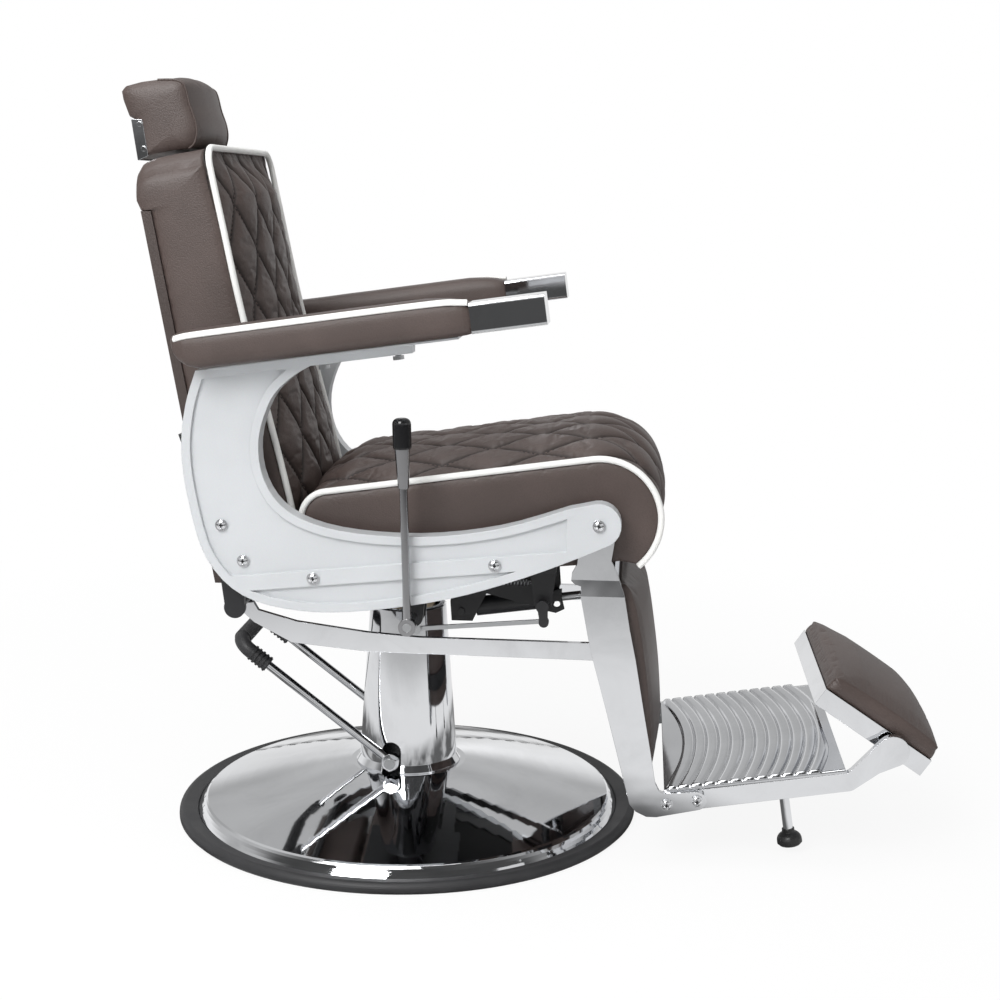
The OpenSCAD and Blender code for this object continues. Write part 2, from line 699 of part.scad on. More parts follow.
control_r = 6;
lever_x = frame_out + 15;
hub_t = 12;
latch_x = lock_x - cheek_gap - cheek_t;
crank_x = -(frame_in - 27);
crank_t = 5;
latch_r = 4;
crank_pin = lever_pivot + crank_arm;
latch_pin = latch_pivot + crank_arm;
spring_z = latch_pivot[1] + 20;
spring_u = [118, 202];
curls = 16;
coil_r = 4.4;
wire_r = 0.9;

module lock_bracket() color([0.08, 0.08, 0.09]) raised() {
    difference() {
        for (x = [latch_x, lock_x + cheek_gap]) side(x, cheek_t) polygon([
            [97, board_z(97)], [232, board_z(232)], [236, 380], [228, 358], [200, 355], [132, 372],
            [lock_rear[0] + 16, lock_rear[1] - 14], [lock_rear[0] - 14, lock_rear[1] - 14],
            [lock_rear[0] - 16, lock_rear[1] + 14], [lock_rear[0] - 10, 390], [97, 390]
        ]);
        across([214, 366], 5, lock_x + cheek_gap - 1, lock_x + cheek_gap + cheek_t + 1);
        across(latch_pivot, latch_r + run, latch_x - 1, latch_x + cheek_t + 1);
    }
    across(lock_rear, 5, latch_x - 2, lock_x + cheek_gap + cheek_t + 2);
    for (u = [spring_u[0] - 5, spring_u[1] + 5]) across([u, spring_z], 1.8, latch_x - 11, latch_x);
}

// Extension spring: one wire, straight at both ends and coiled between them.
function coil_point(t) = let (a = 360 * curls * t, ramp = min(1, 12 * t, 12 * (1 - t))) [
    latch_x - 6.5 + coil_r * ramp * sin(a),
    -along(spring_u[0] + 4, spring_u[1] - 4, t),
    spring_z + coil_r * ramp * cos(a)
];
coil_path = concat(
    [[latch_x - 6.5, -spring_u[0] + 2.4, spring_z]],
    [for (k = [0:8 * curls]) coil_point(k / (8 * curls))],
    [[latch_x - 6.5, -spring_u[1] - 2.4, spring_z]]
);
echo(least_spring_gap = (spring_u[1] - spring_u[0] - 8) / curls - 2 * wire_r);
module latch_spring() color("silver") raised() tube(coil_path, wire_r, [0.02, 1, 0.01], 6);

module link_arm(p, q, rp, rq, x, t) {
    across(p, rp, x, x + t);
    across(q, rq, x, x + t);
    d = (q - p) / norm(q - p);
    n = [-d[1], d[0]];
    side(x, t) polygon([p + n * rp * 0.8, q + n * rq * 0.8, q - n * rq * 0.8, p - n * rp * 0.8]);
}

// The hook plate turns on a cross shaft whose outer end carries the latch's crank.
module latch_plate() color([0.1, 0.1, 0.11]) raised() {
    difference() {
        union() {
            across(latch_pivot, 11, latch_x - 15, latch_x - 10);
            side(latch_x - 15, 5) polygon([
                latch_pivot + [-10, 6], latch_pivot + [24, 13], [240, 372], [244, 356], [232, 350],
                [222, 352], [208, 356]
            ]);
        }
        across([233, 363], 5, latch_x - 16, latch_x - 9);
    }
    across(latch_pivot, latch_r, crank_x, latch_x + cheek_t + 1);
    link_arm(latch_pivot, latch_pin, 9, 7, crank_x, crank_t);
    across(latch_pin, 3, crank_x + crank_t, crank_x + crank_t + 5.5);
}

module release_rod() color("silver") raised() difference() {
    union() {
        for (p = [crank_pin, latch_pin]) across(p, 7, crank_x + crank_t + 0.5, crank_x + crank_t + 4.5);
        side(crank_x + crank_t + 0.5, 4) polygon([
            crank_pin + [5, 3], latch_pin + [-5, 3], latch_pin + [-5, -3], crank_pin + [5, -3]
        ]);
    }
    for (p = [crank_pin, latch_pin]) across(p, 3 + run, crank_x, crank_x + crank_t + 10);
}

// Hangers under the right-hand ledge carry the lever's shaft and the latch's shaft.
module hanger(p, r, x) difference() {
    union() {
        across(p, r + 8, x, x + 6);
        side(x, 6) polygon([
            p - [r + 8, 0], [p[0] - 20, rail_z(p[0] - 20) - rail_half],
            [p[0] + 19, rail_z(p[0] + 19) - rail_half], p + [r + 8, 0]
        ]);
    }
    across(p, r + run, x - 1, x + 7);
}
module lever_bearing() color([0.15, 0.15, 0.16]) raised() {
    ledge_in = frame_in - rail_t - ledge_w;
    for (x = [-frame_in + rail_t + 2, -ledge_in - 6]) hanger(lever_pivot, control_r, x);
    hanger(latch_pivot, latch_r, -ledge_in - 6);
}

module lever_shaft() color("silver") raised() {
    across(lever_pivot, control_r, -lever_x - hub_t / 2, 6 - frame_in + rail_t + ledge_w);
    link_arm(lever_pivot, crank_pin, control_r + 5, 7, crank_x, crank_t);
    across(crank_pin, 3, crank_x + crank_t, crank_x + crank_t + 5.5);
}

ferrule_at = lever_len - 95;
knob_at = lever_len - 41;
lever_lean = 1.5;
module lever_place() translate([-lever_x, -lever_pivot[0], lever_pivot[1]]) rotate([-lever_lean, 0, 0]) children();
module recline_lever() color([0.8, 0.81, 0.83]) raised() {
    difference() {
        union() {
            across(lever_pivot, control_r + 6, -lever_x - hub_t / 2, -lever_x + hub_t / 2);
            lever_place() rotate_extrude() polygon(concat(
                [[0, 0], [lever_d / 2, 0], [lever_d / 2, ferrule_at], [lever_d / 2 + 2, ferrule_at + 1]],
                [[knob_d / 2 - 2, knob_at], [0, knob_at]]
            ));
        }
        across(lever_pivot, control_r, -lever_x - hub_t, -lever_x + hub_t);
    }
}
module lever_knob() color([0.05, 0.05, 0.06]) raised() lever_place() rotate_extrude() polygon(concat(
    [[0, knob_at], [knob_d / 2 - 1, knob_at], [knob_d / 2, knob_at + 2]],
    arc([knob_d / 2 - 8, lever_len - 8], 8, 0, 90, 5),
    [[0, lever_len]]
));

// ---- Recline lock ----

lock_r = lock_d / 2;
lock_run = tube_at - lock_rear;
lock_full = norm(lock_run);
lock_angle = atan2(lock_run[1], lock_run[0]);
lock_barrel = [20, 126];
tube_r = 9;
lock_rod_r = 6;
module lock_place() translate([lock_x, -lock_rear[0], lock_rear[1]]) rotate([90 - lock_angle, 0, 0]) children();

module lock_cylinder() color([0.15, 0.15, 0.17]) raised() difference() {
    union() {
        lock_place() translate([0, 0, lock_barrel[0]]) cylinder(h = lock_barrel[1] - lock_barrel[0], r = lock_r);
        lock_place() cylinder(h = lock_barrel[0] + 2, r = 7);
        across(lock_rear, 11, lock_x - 9, lock_x + 9);
    }
    across(lock_rear, 5 + run, lock_x - 20, lock_x + 20);
    lock_place() translate([0, 0, lock_barrel[0] + 8]) cylinder(h = 200, r = lock_rod_r + run);
}

module lock_rod() color("silver") raised() difference() {
    union() {
        lock_place() translate([0, 0, lock_barrel[0] + 10]) cylinder(h = lock_full - lock_barrel[0] - 20, r = lock_rod_r);
        across(tube_at, tube_r + slack + 6, lock_x - 7, lock_x + 7);
    }
    across(tube_at, tube_r + slack, lock_x - 20, lock_x + 20);
}

// ---- Backrest ----

back_half = back_w / 2;
back_lean = 0.177;
board_low = 390;
board_high = 905.5;
function back_rear(z) = -345 + (941.5 - z) * back_lean;
function back_front(z) = back_rear(z) + back_board_t;
back_steps = 17;
back_columns = 15;
back_diamond = back_w / 3.75;
back_bottom = 441;
back_face = even(smooth([
    [-252, 990], [-248, 967], [-232, 888], [-206, 763], [-158, 568], [-139, 484], [-136, 451]
], 5), back_steps);
back_round = 36;
roll_low = board_high + back_round;
post_wall = 3.2;
post_fit = 0.2;
function post_u(z) = head_pivot[0] + (head_pivot[1] - z) * back_lean;
sleeve_low = 790;
sleeve_high = 898;
sleeve_half = post_w / 2 + post_fit + post_wall;
sleeve_deep = post_t / 2 + post_fit + post_wall;

module back_board() color([0.1, 0.1, 0.1]) raised() side(-back_half, back_w) polygon([
    [back_rear(board_low), board_low], [back_front(board_low), board_low],
    [back_front(board_high), board_high], [back_rear(board_high), board_high]
]);

module back_cushion() color([0.36, 0.3, 0.28]) raised() difference() {
    cushion(
        back_face,
        [
            [-148, back_bottom], [back_front(back_bottom), back_bottom],
            [back_front(board_high + 0.3), board_high + 0.3], [back_rear(board_high), board_high + 0.3],
            [back_rear(roll_low), roll_low + 0.3], [back_rear(roll_low), roll_low + 15], [-337, roll_low + 28],
            [-320, roll_low + 35], [-292, roll_low + 41], [-264, roll_low + 46]
        ],
        back_w, back_crown, back_columns, back_diamond, diamond_l, [0.12, 0.1], back_round
    );
    side(-sleeve_half - 2, 2 * sleeve_half + 4) polygon([
        [back_front(770) - 1, 770], [post_u(770) + sleeve_deep + 2, 770],
        [post_u(1000) + sleeve_deep + 2, 1000], [post_u(1000) - sleeve_deep - 2, 1000],
        [post_u(board_high + 2) - sleeve_deep - 2, board_high + 2], [back_front(board_high) - 1, board_high]
    ]);
}

module back_piping() color("white") raised() {
    x = back_half - 4;
    out = piping_r + 0.6;
    rise = [for (j = [back_steps:-1:2]) let (p = back_face[j] + normal(back_face, j) * out) [x, -p[0], p[1]]];
    top = back_face[0] + [4.2, out - back_round * 0.1];
    bend_r = back_round + 6;
    corner = [for (k = [1:4]) let (a = 90 * k / 4)
        [x - bend_r * (1 - cos(a)), -top[0] - (1 - sin(a)) * 4, top[1] - bend_r * (1 - sin(a))]];
    half = concat(rise, corner);
    tube(concat(half, [[0, -top[0], top[1]]], [for (k = [len(half) - 1:-1:0]) [-half[k][0], half[k][1], half[k][2]]]),
        piping_r, [0, -1, 0.2], 6);
}

// Pivot brackets: each ear hangs the back on its pivot bolt and runs down to the crossbar.
module back_ears() color([0.13, 0.13, 0.14]) raised() {
    both() difference() {
        union() {
            across(back_pivot, 24, ear_out - ear_t, ear_out);
            across(crossbar_at, 15, ear_out - ear_t, ear_out);
            side(ear_out - ear_t, ear_t) polygon([
                back_pivot + [21, -10], crossbar_at + [14, 5], crossbar_at + [-14, 5], back_pivot + [-21, -10]
            ]);
            side(ear_out - ear_t, ear_t) polygon([
                back_pivot + [20, 10], [back_front(605), 605], [back_rear(605), 605], back_pivot + [-24, 0]
            ]);
            side(back_half, ear_out - ear_t - back_half) polygon([
                [back_rear(540), 540], [back_front(540), 540], [back_front(605), 605], [back_rear(605), 605]
            ]);
        }
        across(back_pivot, pivot_r + run, ear_out - ear_t - 1, ear_out + 1);
    }
    across(crossbar_at, 8, -ear_out, ear_out);
}

module post_sleeve() color("dimgray") raised() difference() {
    side(-sleeve_half, 2 * sleeve_half) polygon([
        [back_front(sleeve_low), sleeve_low], [post_u(sleeve_low) + sleeve_deep, sleeve_low],
        [post_u(sleeve_high) + sleeve_deep, sleeve_high], [back_front(sleeve_high), sleeve_high]
    ]);
    side(-post_w / 2 - post_fit, post_w + 2 * post_fit) post_strip(sleeve_low - 5, sleeve_high + 5, post_fit);
}

// ---- Headrest ----

module post_strip(low, high, grow) polygon([
    [post_u(low) - post_t / 2 - grow, low], [post_u(low) + post_t / 2 + grow, low],
    [post_u(high) + post_t / 2 + grow, high], [post_u(high) - post_t / 2 - grow, high]
]);
head_pin_r = 4;
module headrest_post() color("silver") raised() difference() {
    union() {
        side(-post_w / 2, post_w) post_strip(sleeve_low + 4, head_pivot[1] - 4, 0);
        across(head_pivot, 9, -post_w / 2, post_w / 2);
    }
    across(head_pivot, head_pin_r + run, -post_w, post_w);
}

head_half = head_w / 2;
plate_t = 3;
plate_high = [-379, 1032];
plate_low = [-371, 975];
ear_high = [-363, 1031];
ear_low = [-356, 981];
function plate_front(z) = along(plate_low, plate_high, (z - plate_low[1]) / (plate_high[1] - plate_low[1])) + [plate_t, 0];
module headrest_plate() color([0.75, 0.76, 0.78]) raised() {
    both() side(post_w / 2 + 0.5, 6) union() {
        polygon([plate_front(1020) - [1, 0], plate_front(986) - [1, 0], head_pivot - [0, 9], head_pivot + [0, 9]]);
        translate(head_pivot) circle(r = 9);
    }
    side(-head_half - plate_t, 2 * (head_half + plate_t)) polygon([
        plate_high, plate_low, plate_low + [plate_t, 0], plate_high + [plate_t, 0]
    ]);
    both() side(head_half, plate_t) polygon([plate_high, plate_low, ear_low, ear_high]);
    both() for (p = [[-367, 1025], [-362, 991]]) across(p, 3.5, head_half + plate_t, head_half + plate_t + 2);
    across(head_pivot, head_pin_r, -post_w / 2 - 7, post_w / 2 + 7);
}

// Side view of the headrest, from the top of its face round to its lower front edge.
head_face = even(smooth([
    [-341, 1086], [-318, 1086], [-306, 1082], [-301, 1073], [-296, 1052], [-289, 1031], [-287, 1014], [-291, 999], [-299, 992]
], 3), 14);
module headrest_cushion() color([0.36, 0.3, 0.28]) raised() difference() {
    cushion(
        head_face,
        [
            [-324, 989], [-352, 983], plate_front(977), plate_front(plate_high[1] + 0.5), plate_front(plate_high[1]) + [-7, 4],
            [-391, 1058], [-393, 1070], [-387, 1077], [-364, 1083]
        ],
        head_w, 7, 8, 50, 50, [0.15, 0.2], 0, false, 8
    );
    side(-post_w / 2 - 9, post_w + 18) polygon([
        plate_front(960) - [3, 0], [-318, 960], [-318, 1014], plate_front(1026) - [3, 0]
    ]);
}

// ---- Footrest ----

leg_bend = [418, 390];
foot_end = [436, 101];
foot_rear = [394, 94];
tab_r = 13;
link_pin_r = 6;
link_x = 176;
link_t = 8;

module leg_outline() {
    polygon([
        front_pivot - [24, 0], [264, 440], [257, 427], [256, 416], [261, 410], [269, 407], [269, 387], [280, 330],
        [287, 300], [308, 223], [331, 135], [342, 93], [351, 82], [366, 75], [380, 75], foot_end - [-2, tab_r],
        foot_end + [-2, tab_r], [391, 110], [383, 113], [377, 125], [369, 173], [358, 233], [346, 302],
        [337, 345], [331, 380], [328, 397], [320, 424], [310, 445], front_pivot + [24, -6]
    ]);
    translate(front_pivot) circle(r = 24);
    translate(foot_end) circle(r = tab_r);
}

// A flat strap, stepped outwards near its top to reach the side frame's pivot.
module leg() difference() {
    intersection() {
        side(leg_in - 10, 60) leg_outline();
        rotate([90, 0, 0]) linear_extrude(700) polygon([
            [leg_top_out, 540], [leg_top_out, leg_bend[0]], [leg_out, leg_bend[1]], [leg_out, 0],
            [leg_in, 0], [leg_in, leg_bend[1] + 2], [leg_top_out - leg_t, leg_bend[0] + 2], [leg_top_out - leg_t, 540]
        ]);
    }
    across(front_pivot, pivot_r + run, leg_in - 1, frame_out);
    for (p = [foot_end, foot_rear]) across(p, bolt_r, leg_in - 1, leg_out + 1);
}
module leg_left() color([0.85, 0.86, 0.88]) raised() leg();
module leg_right() color([0.85, 0.86, 0.88]) raised() mirror([1, 0, 0]) leg();

calf_top = [319, 402];
calf_low = [356, 112];
function calf_u(z) = along(calf_low[0], calf_top[0], (z - calf_low[1]) / (calf_top[1] - calf_low[1]));
module leg_crosstube() color([0.15, 0.15, 0.16]) raised() {
    across(tube_at, tube_r, -leg_in, leg_in);
    for (z = [140, 322]) side(-leg_in, 2 * leg_in) polygon([
        [calf_u(z) - 4, z], [calf_u(z), z], [calf_u(z + 28), z + 28], [calf_u(z + 28) - 4, z + 28]
    ]);
}

module calf_pad() color([0.36, 0.3, 0.28]) raised() cushion(
    even(smooth([
        calf_top + [3, 2], [332, 401], [341, 384], [351, 340], [359, 290], [366, 235], [370, 180], [371, 135], [366, 113]
    ], 2), 12),
    [calf_low, calf_low, calf_top, calf_top], 2 * leg_in - 22, 13, 8, 60, 60, [0.2, 0.2], 0, false, 6
);

arm_t = leg_in - arm_in;
joggle = [648, 690];
joggle_in = 27;
arm_end_r = 22;
arm_end_turn = 30;
// A flat bar under the footplate's edge, bent up and joggled inwards to the flip-over pad's stud.
module foot_arm() difference() {
    union() {
        intersection() {
            side(arm_in - 60, 80) union() {
                square_off = arm_end_r * [sin(arm_end_turn), -cos(arm_end_turn)];
                polygon([
                    [374, 76], [652, 122], flip_pivot + square_off, flip_pivot - square_off,
                    plate_under(642), plate_under(384)
                ]);
                translate(flip_pivot) circle(r = arm_end_r);
            }
            linear_extrude(700) polygon([
                [leg_in, 0], [leg_in, -joggle[0]], [leg_in - joggle_in, -joggle[1]], [leg_in - joggle_in, -800],
                [arm_in - joggle_in, -800], [arm_in - joggle_in, -joggle[1]], [arm_in, -joggle[0]], [arm_in, 0]
            ]);
        }
        across(flip_pivot, 10, flip_w / 2 + 0.4, arm_in - joggle_in + 1);
        across(flip_pivot, 6, flip_w / 2 - 9, arm_in - joggle_in + 1);
    }
    for (p = [foot_end, foot_rear]) across(p, bolt_r, arm_in - 1, leg_in + 1);
}
module foot_arms() color([0.85, 0.86, 0.88]) raised() both() foot_arm();

module leg_bolts() color("silver") raised() both() {
    for (p = [foot_end, foot_rear]) button_bolt(p, bolt_r, arm_in, leg_out);
    across(leg_link, link_pin_r, link_x - link_t / 2 - 4, leg_in);
    across(leg_link, link_pin_r + 7, link_x - link_t / 2 - 4, link_x - link_t / 2 - 1);
    across(leg_link, link_pin_r + 7, link_x + link_t / 2 + 1, link_x + link_t / 2 + 4);
}

// The footplate is drawn flat from its rear edge: X across, -Y forwards, Z square to its top.
plate_at = [390, 112];
plate_slope = 9;
plate_len = 253;
plate_thick = 5;
rib_pitch = (plate_len - 35) / rib_n;
rib_radius = 700;
// Point of the plate's underside at u in side view.
function plate_under(u) = [u, plate_at[1] + (u - plate_at[0]) * tan(plate_slope) - plate_thick / cos(plate_slope)];
module plate_place() translate([0, -plate_at[0], plate_at[1]]) rotate([-plate_slope, 0, 0]) children();
module footplate() color([0.8, 0.81, 0.83]) raised() plate_place() {
    translate([-leg_in, -plate_len, -plate_thick]) cube([2 * leg_in, plate_len, plate_thick]);
    both() translate([arm_in - 5, -plate_len + 10, -plate_thick - 14]) cube([5, plate_len - 30, 14]);
    translate([-arm_in, -plate_len, -plate_thick - 12]) cube([2 * arm_in, 5, 12]);
    for (k = [0:rib_n - 1], s = [[6, rib_h * 0.5], [4, rib_h * 0.85], [2, rib_h]])
        intersection() {
            translate([0, rib_radius - 40 - k * rib_pitch, 0]) linear_extrude(s[1]) difference() {
                circle(r = rib_radius + s[0], $fn = 360);
                circle(r = rib_radius - s[0], $fn = 360);
            }
            translate([-leg_in + 1, -plate_len + 12, -1]) cube([2 * leg_in - 2, plate_len - 14, 20]);
        }
}

foot_x = 135;
foot_along = 167;
foot_drop = 128;
foot_h = 24;
pad_r = 18;
module foot_place() raised() plate_place() both() translate([foot_x, -foot_along, -foot_drop]) children();
module support_rods() color([0.85, 0.86, 0.88]) foot_place() {
    translate([0, 0, foot_h]) cylinder(h = foot_drop - foot_h - plate_thick, r = foot_rod_d / 2);
    translate([0, 0, foot_drop - plate_thick - 12]) cylinder(h = 12, r = foot_rod_d / 2 + 4, $fn = 6);
}
// A domed rubber foot with a collar round the end of its rod.
module support_feet() color([0.1, 0.1, 0.1]) foot_place() rotate_extrude($fn = 48) polygon(concat(
    [[0, 0], [pad_r - 3, 0], [pad_r, 3], [pad_r, 7]],
    arc([pad_r - 12, 7], 12, 0, 70, 5),
    [[foot_rod_d / 2 + 2, foot_h - 5], [foot_rod_d / 2 + 2, foot_h], [0, foot_h]]
));

// The flip-over pad is drawn in its own side view: [along the pad towards its front, off its back].
flip_angle = -33.6;
flip_rear = -124.5;
flip_back = -10.5;
tray_t = 3;
function flip_at(p) = flip_pivot
    + [p[0] * cos(flip_angle) - p[1] * sin(flip_angle), p[0] * sin(flip_angle) + p[1] * cos(flip_angle)];
module flip_box(p, s) polygon([for (c = [[0, 0], [1, 0], [1, 1], [0, 1]]) flip_at(p + [s[0] * c[0], s[1] * c[1]])]);
module flip_tray() color([0.85, 0.86, 0.88]) raised() difference() {
    side(-flip_w / 2, flip_w) flip_box([flip_rear, flip_back], [flip_len, tray_h]);
    side(-flip_w / 2 + tray_t, flip_w - 2 * tray_t)
        flip_box([flip_rear + tray_t, flip_back + tray_t], [flip_len - 2 * tray_t, tray_h]);
    for (s = [-1, 1]) across(flip_pivot, 6 + run, s * flip_w / 2 - 5, s * flip_w / 2 + 5);
}

flip_top = flip_back + tray_h;
module flip_cushion() color([0.36, 0.3, 0.28]) raised() cushion(
    even([for (p = [
        [flip_rear + 1, flip_top + 2], [flip_rear + 3, flip_top + 14], [flip_rear + 12, flip_top + 23],
        [flip_rear + flip_len / 2, flip_top + 26],
        [flip_rear + flip_len - 12, flip_top + 23], [flip_rear + flip_len - 3, flip_top + 14], [flip_rear + flip_len - 1, flip_top + 2]
    ]) flip_at(p)], 12),
    [flip_at([flip_rear + flip_len - 2, flip_top + 0.05]), flip_at([flip_rear + flip_len - 4, flip_top]),
     flip_at([flip_rear + 4, flip_top]), flip_at([flip_rear + 2, flip_top + 0.05])],
    flip_w - 2, 16, 8, 60, 60, [0.3, 0.3], 0, false, 7
);

// ---- Links between the back and the footrest ----

module link_bar() difference() {
    union() {
        across(crossbar_at, 14, link_x - link_t / 2, link_x + link_t / 2);
        across(leg_link, 16, link_x - link_t / 2, link_x + link_t / 2);
        side(link_x - link_t / 2, link_t) polygon([
            crossbar_at + [6, 12], [-190, 348], [-135, 333], [-33, 320], [40, 315], [306, 314],
            [306, 289], [-34, 292], [-142, 302], [-196, 330], crossbar_at + [-12, -8]
        ]);
    }
    across(crossbar_at, 8 + run, link_x - 20, link_x + 20);
    across(leg_link, link_pin_r + slack, link_x - 20, link_x + 20);
}
module link_bars() color([0.78, 0.79, 0.79]) raised() both() link_bar();

// ---- Nodes ----

base_ring();
base_dish();
base_plate();
base_bolts();
pump_body();
pump_cylinder();
gland_nut();
column_cover();
pump_plunger();
pedal_shaft();
pedal_cam();
pedal_lever();
pedal_grip();
pedal_nuts();
ram();
thrust_bearing();
seat_hub();
seat_subframe();
seat_board();
seat_cushion();
seat_piping();
side_frame_left();
side_frame_right();
frame_bolts();
arm_plates();
arm_screws();
arm_pad_left();
arm_pad_right();
arm_piping();
arm_cap_left();
arm_cap_right();
lock_bracket();
latch_plate();
latch_spring();
release_rod();
lever_bearing();
lever_shaft();
recline_lever();
lever_knob();
lock_cylinder();
lock_rod();
back_board();
back_cushion();
back_piping();
back_ears();
post_sleeve();
headrest_post();
headrest_plate();
headrest_cushion();
leg_left();
leg_right();
leg_crosstube();
foot_arms();
leg_bolts();
footplate();
support_feet();
support_rods();
calf_pad();
flip_tray();
flip_cushion();
link_bars();
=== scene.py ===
"""Dresses a hydraulic barber chair: upholstery, welts, plated and painted metal, and a studio."""

import math

import bmesh
import bpy
import numpy as np
from mathutils import Matrix, Vector
from mathutils.kdtree import KDTree


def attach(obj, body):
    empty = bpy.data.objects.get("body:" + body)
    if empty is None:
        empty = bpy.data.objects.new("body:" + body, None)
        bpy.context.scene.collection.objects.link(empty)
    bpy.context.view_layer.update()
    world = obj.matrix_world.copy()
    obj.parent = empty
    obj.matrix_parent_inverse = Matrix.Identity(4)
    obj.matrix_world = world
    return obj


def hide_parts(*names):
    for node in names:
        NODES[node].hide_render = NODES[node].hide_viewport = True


bl_info = {
    "name": "Barber chair dresser",
    "version": (1, 0, 0),
    "blender": (4, 5, 0),
    "location": "View3D > Sidebar > Barber chair",
    "description": "Upholsters and finishes a hydraulic barber chair",
    "category": "Object",
}

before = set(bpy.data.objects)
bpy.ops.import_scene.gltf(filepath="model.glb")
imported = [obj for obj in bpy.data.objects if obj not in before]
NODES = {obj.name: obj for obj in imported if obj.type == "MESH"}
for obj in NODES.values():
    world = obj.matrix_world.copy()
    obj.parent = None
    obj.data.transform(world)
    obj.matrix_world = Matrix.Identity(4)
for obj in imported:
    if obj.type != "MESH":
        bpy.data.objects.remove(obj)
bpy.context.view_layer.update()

# ---------------------------------------------------------------- sizes, side view in millimetres
# A side-view point is (forward of the column, height above the floor).
FRONT_PIVOT = np.array([293.0, 499.0])
FLIP_PIVOT = np.array([708.0, 171.0])
ARM_FRONT = np.array([127.0, 753.0])
ARM_RISE = 8.0
FLIP_ANGLE = -33.6
BACK_LEAN = 0.177
BOARD_HIGH = 905.5
BACK_ROUND = 36.0
BACK_CORNER = 22.0
SEAT_ARC = 79.0
SEAT_SLOPE = 8.15
SEAT_WIDE = 444.0
BACK_WIDE = 392.0
HEADREST_WIDE = 184.0
CALF_WIDE = 394.0
FLIP_WIDE = 322.0
PLATE_AT = (390.0, 112.0)
PLATE_SLOPE = 9.0
BOLT_RADIUS = 6.4

# ---------------------------------------------------------------- mesh and cloth, lengths in metres
DOUBLES = 2e-5
HOLD_LEVELS = 12
CLOTH_STEPS = 20

# ---------------------------------------------------------------- camera and floor, in metres and radians
CAMERA_AT = (-2.43375, -0.34058, 0.93107)
CAMERA_YAW, CAMERA_PITCH, CAMERA_ROLL = 0.08286, 0.18182, 0.0087
CAMERA_LENS = 59.717
FLOOR_RADIUS = 7.0


# ================================================================ shader maths


def feed(tree, slot, value):
    """Puts a number, a tuple or a wire into a node's input."""
    if isinstance(value, Wire):
        tree.links.new(value.socket, slot)
        return
    if hasattr(value, "__len__"):
        value = tuple(value)
        if slot.type == "RGBA" and len(value) == 3:
            value = value + (1.0,)
    slot.default_value = value


class Wire:
    """A node's output that can be used in plain arithmetic; each operator adds one Math node."""

    def __init__(self, tree, socket):
        self.tree = tree
        self.socket = socket

    def math(self, operation, *others, first=None):
        """first (or this wire) and the others go through one Math node of that operation."""
        n = self.tree.nodes.new("ShaderNodeMath")
        n.operation = operation
        values = ((self,) if first is None else (first, self)) + others
        for slot, value in zip(n.inputs, values):
            feed(self.tree, slot, value)
        return Wire(self.tree, n.outputs[0])

    def __add__(self, o):
        return self.math("ADD", o)

    __radd__ = __add__

    def __sub__(self, o):
        return self.math("SUBTRACT", o)

    def __rsub__(self, o):
        return self.math("SUBTRACT", first=o)

    def __mul__(self, o):
        return self.math("MULTIPLY", o)

    __rmul__ = __mul__

    def __truediv__(self, o):
        return self.math("DIVIDE", o)

    def __neg__(self):
        return self.math("MULTIPLY", -1.0)

    def power(self, o):
        return self.math("POWER", o)

    def size(self):
        return self.math("ABSOLUTE")

    def least(self, o):
        return self.math("MINIMUM", o)

    def sine(self):
        return self.math("SINE")

    def clamp(self):
        return self.math("MAXIMUM", 0.0).math("MINIMUM", 1.0)

    def to_line(self):
        """Distance to the nearest whole number, from 0 to 0.5."""
        return (self - self.math("ROUND")).size()

    def band(self, low, high):
        """0 below low, 1 above high, smooth in between."""
        n = self.tree.nodes.new("ShaderNodeMapRange")
        n.interpolation_type = "SMOOTHSTEP"
        feed(self.tree, n.inputs["Value"], self)
        n.inputs["From Min"].default_value = low
        n.inputs["From Max"].default_value = high
        return Wire(self.tree, n.outputs["Result"])


class Network:
    """A node tree under construction; spot is the coordinate that its textures read."""

    def __init__(self, tree, coordinate):
        self.tree = tree
        tree.nodes.clear()
        self.spot = self.add("ShaderNodeTexCoord", out=coordinate)

    def add(self, kind, settings=None, values=None, out=0):
        """One node of that kind: its settings first, then its inputs; gives the named output."""
        n = self.tree.nodes.new(kind)
        for key, value in (settings or {}).items():
            setattr(n, key, value)
        for key, value in (values or {}).items():
            feed(self.tree, n.inputs[key], value)
        return Wire(self.tree, n.outputs[out]) if n.outputs else None

    def ray(self, kind):
        """1 for rays of that kind, 0 for the others."""
        return self.add("ShaderNodeLightPath", out=kind)

    def noise(self, scale, detail=3.0, roughness=0.55, at=None, distortion=0.0):
        return self.add("ShaderNodeTexNoise", None, {
            "Vector": self.spot if at is None else at, "Scale": scale, "Detail": detail,
            "Roughness": roughness, "Distortion": distortion})

    def cells(self, scale, out="Distance"):
        return self.add("ShaderNodeTexVoronoi", None, {"Vector": self.spot, "Scale": scale}, out)

    def stretch(self, scale):
        return self.add("ShaderNodeMapping", None, {"Vector": self.spot, "Scale": scale})

    def mix(self, factor, a, b):
        return self.add("ShaderNodeMix", {"data_type": "RGBA"}, {0: factor, 6: a, 7: b}, 2)

    def attribute(self, name):
        return self.add("ShaderNodeAttribute", {"attribute_name": name}, out="Fac")

    def split(self, vector):
        n = self.tree.nodes.new("ShaderNodeSeparateXYZ")
        feed(self.tree, n.inputs[0], vector)
        return [Wire(self.tree, n.outputs[k]) for k in range(3)]

    def bump(self, height, depth, strength=1.0, under=None):
        values = {"Height": height, "Distance": depth, "Strength": strength}
        if under is not None:
            values["Normal"] = under
        return self.add("ShaderNodeBump", None, values)

    def soft_edges(self, radius):
        return self.add("ShaderNodeBevel", {"samples": 4}, {"Radius": radius})


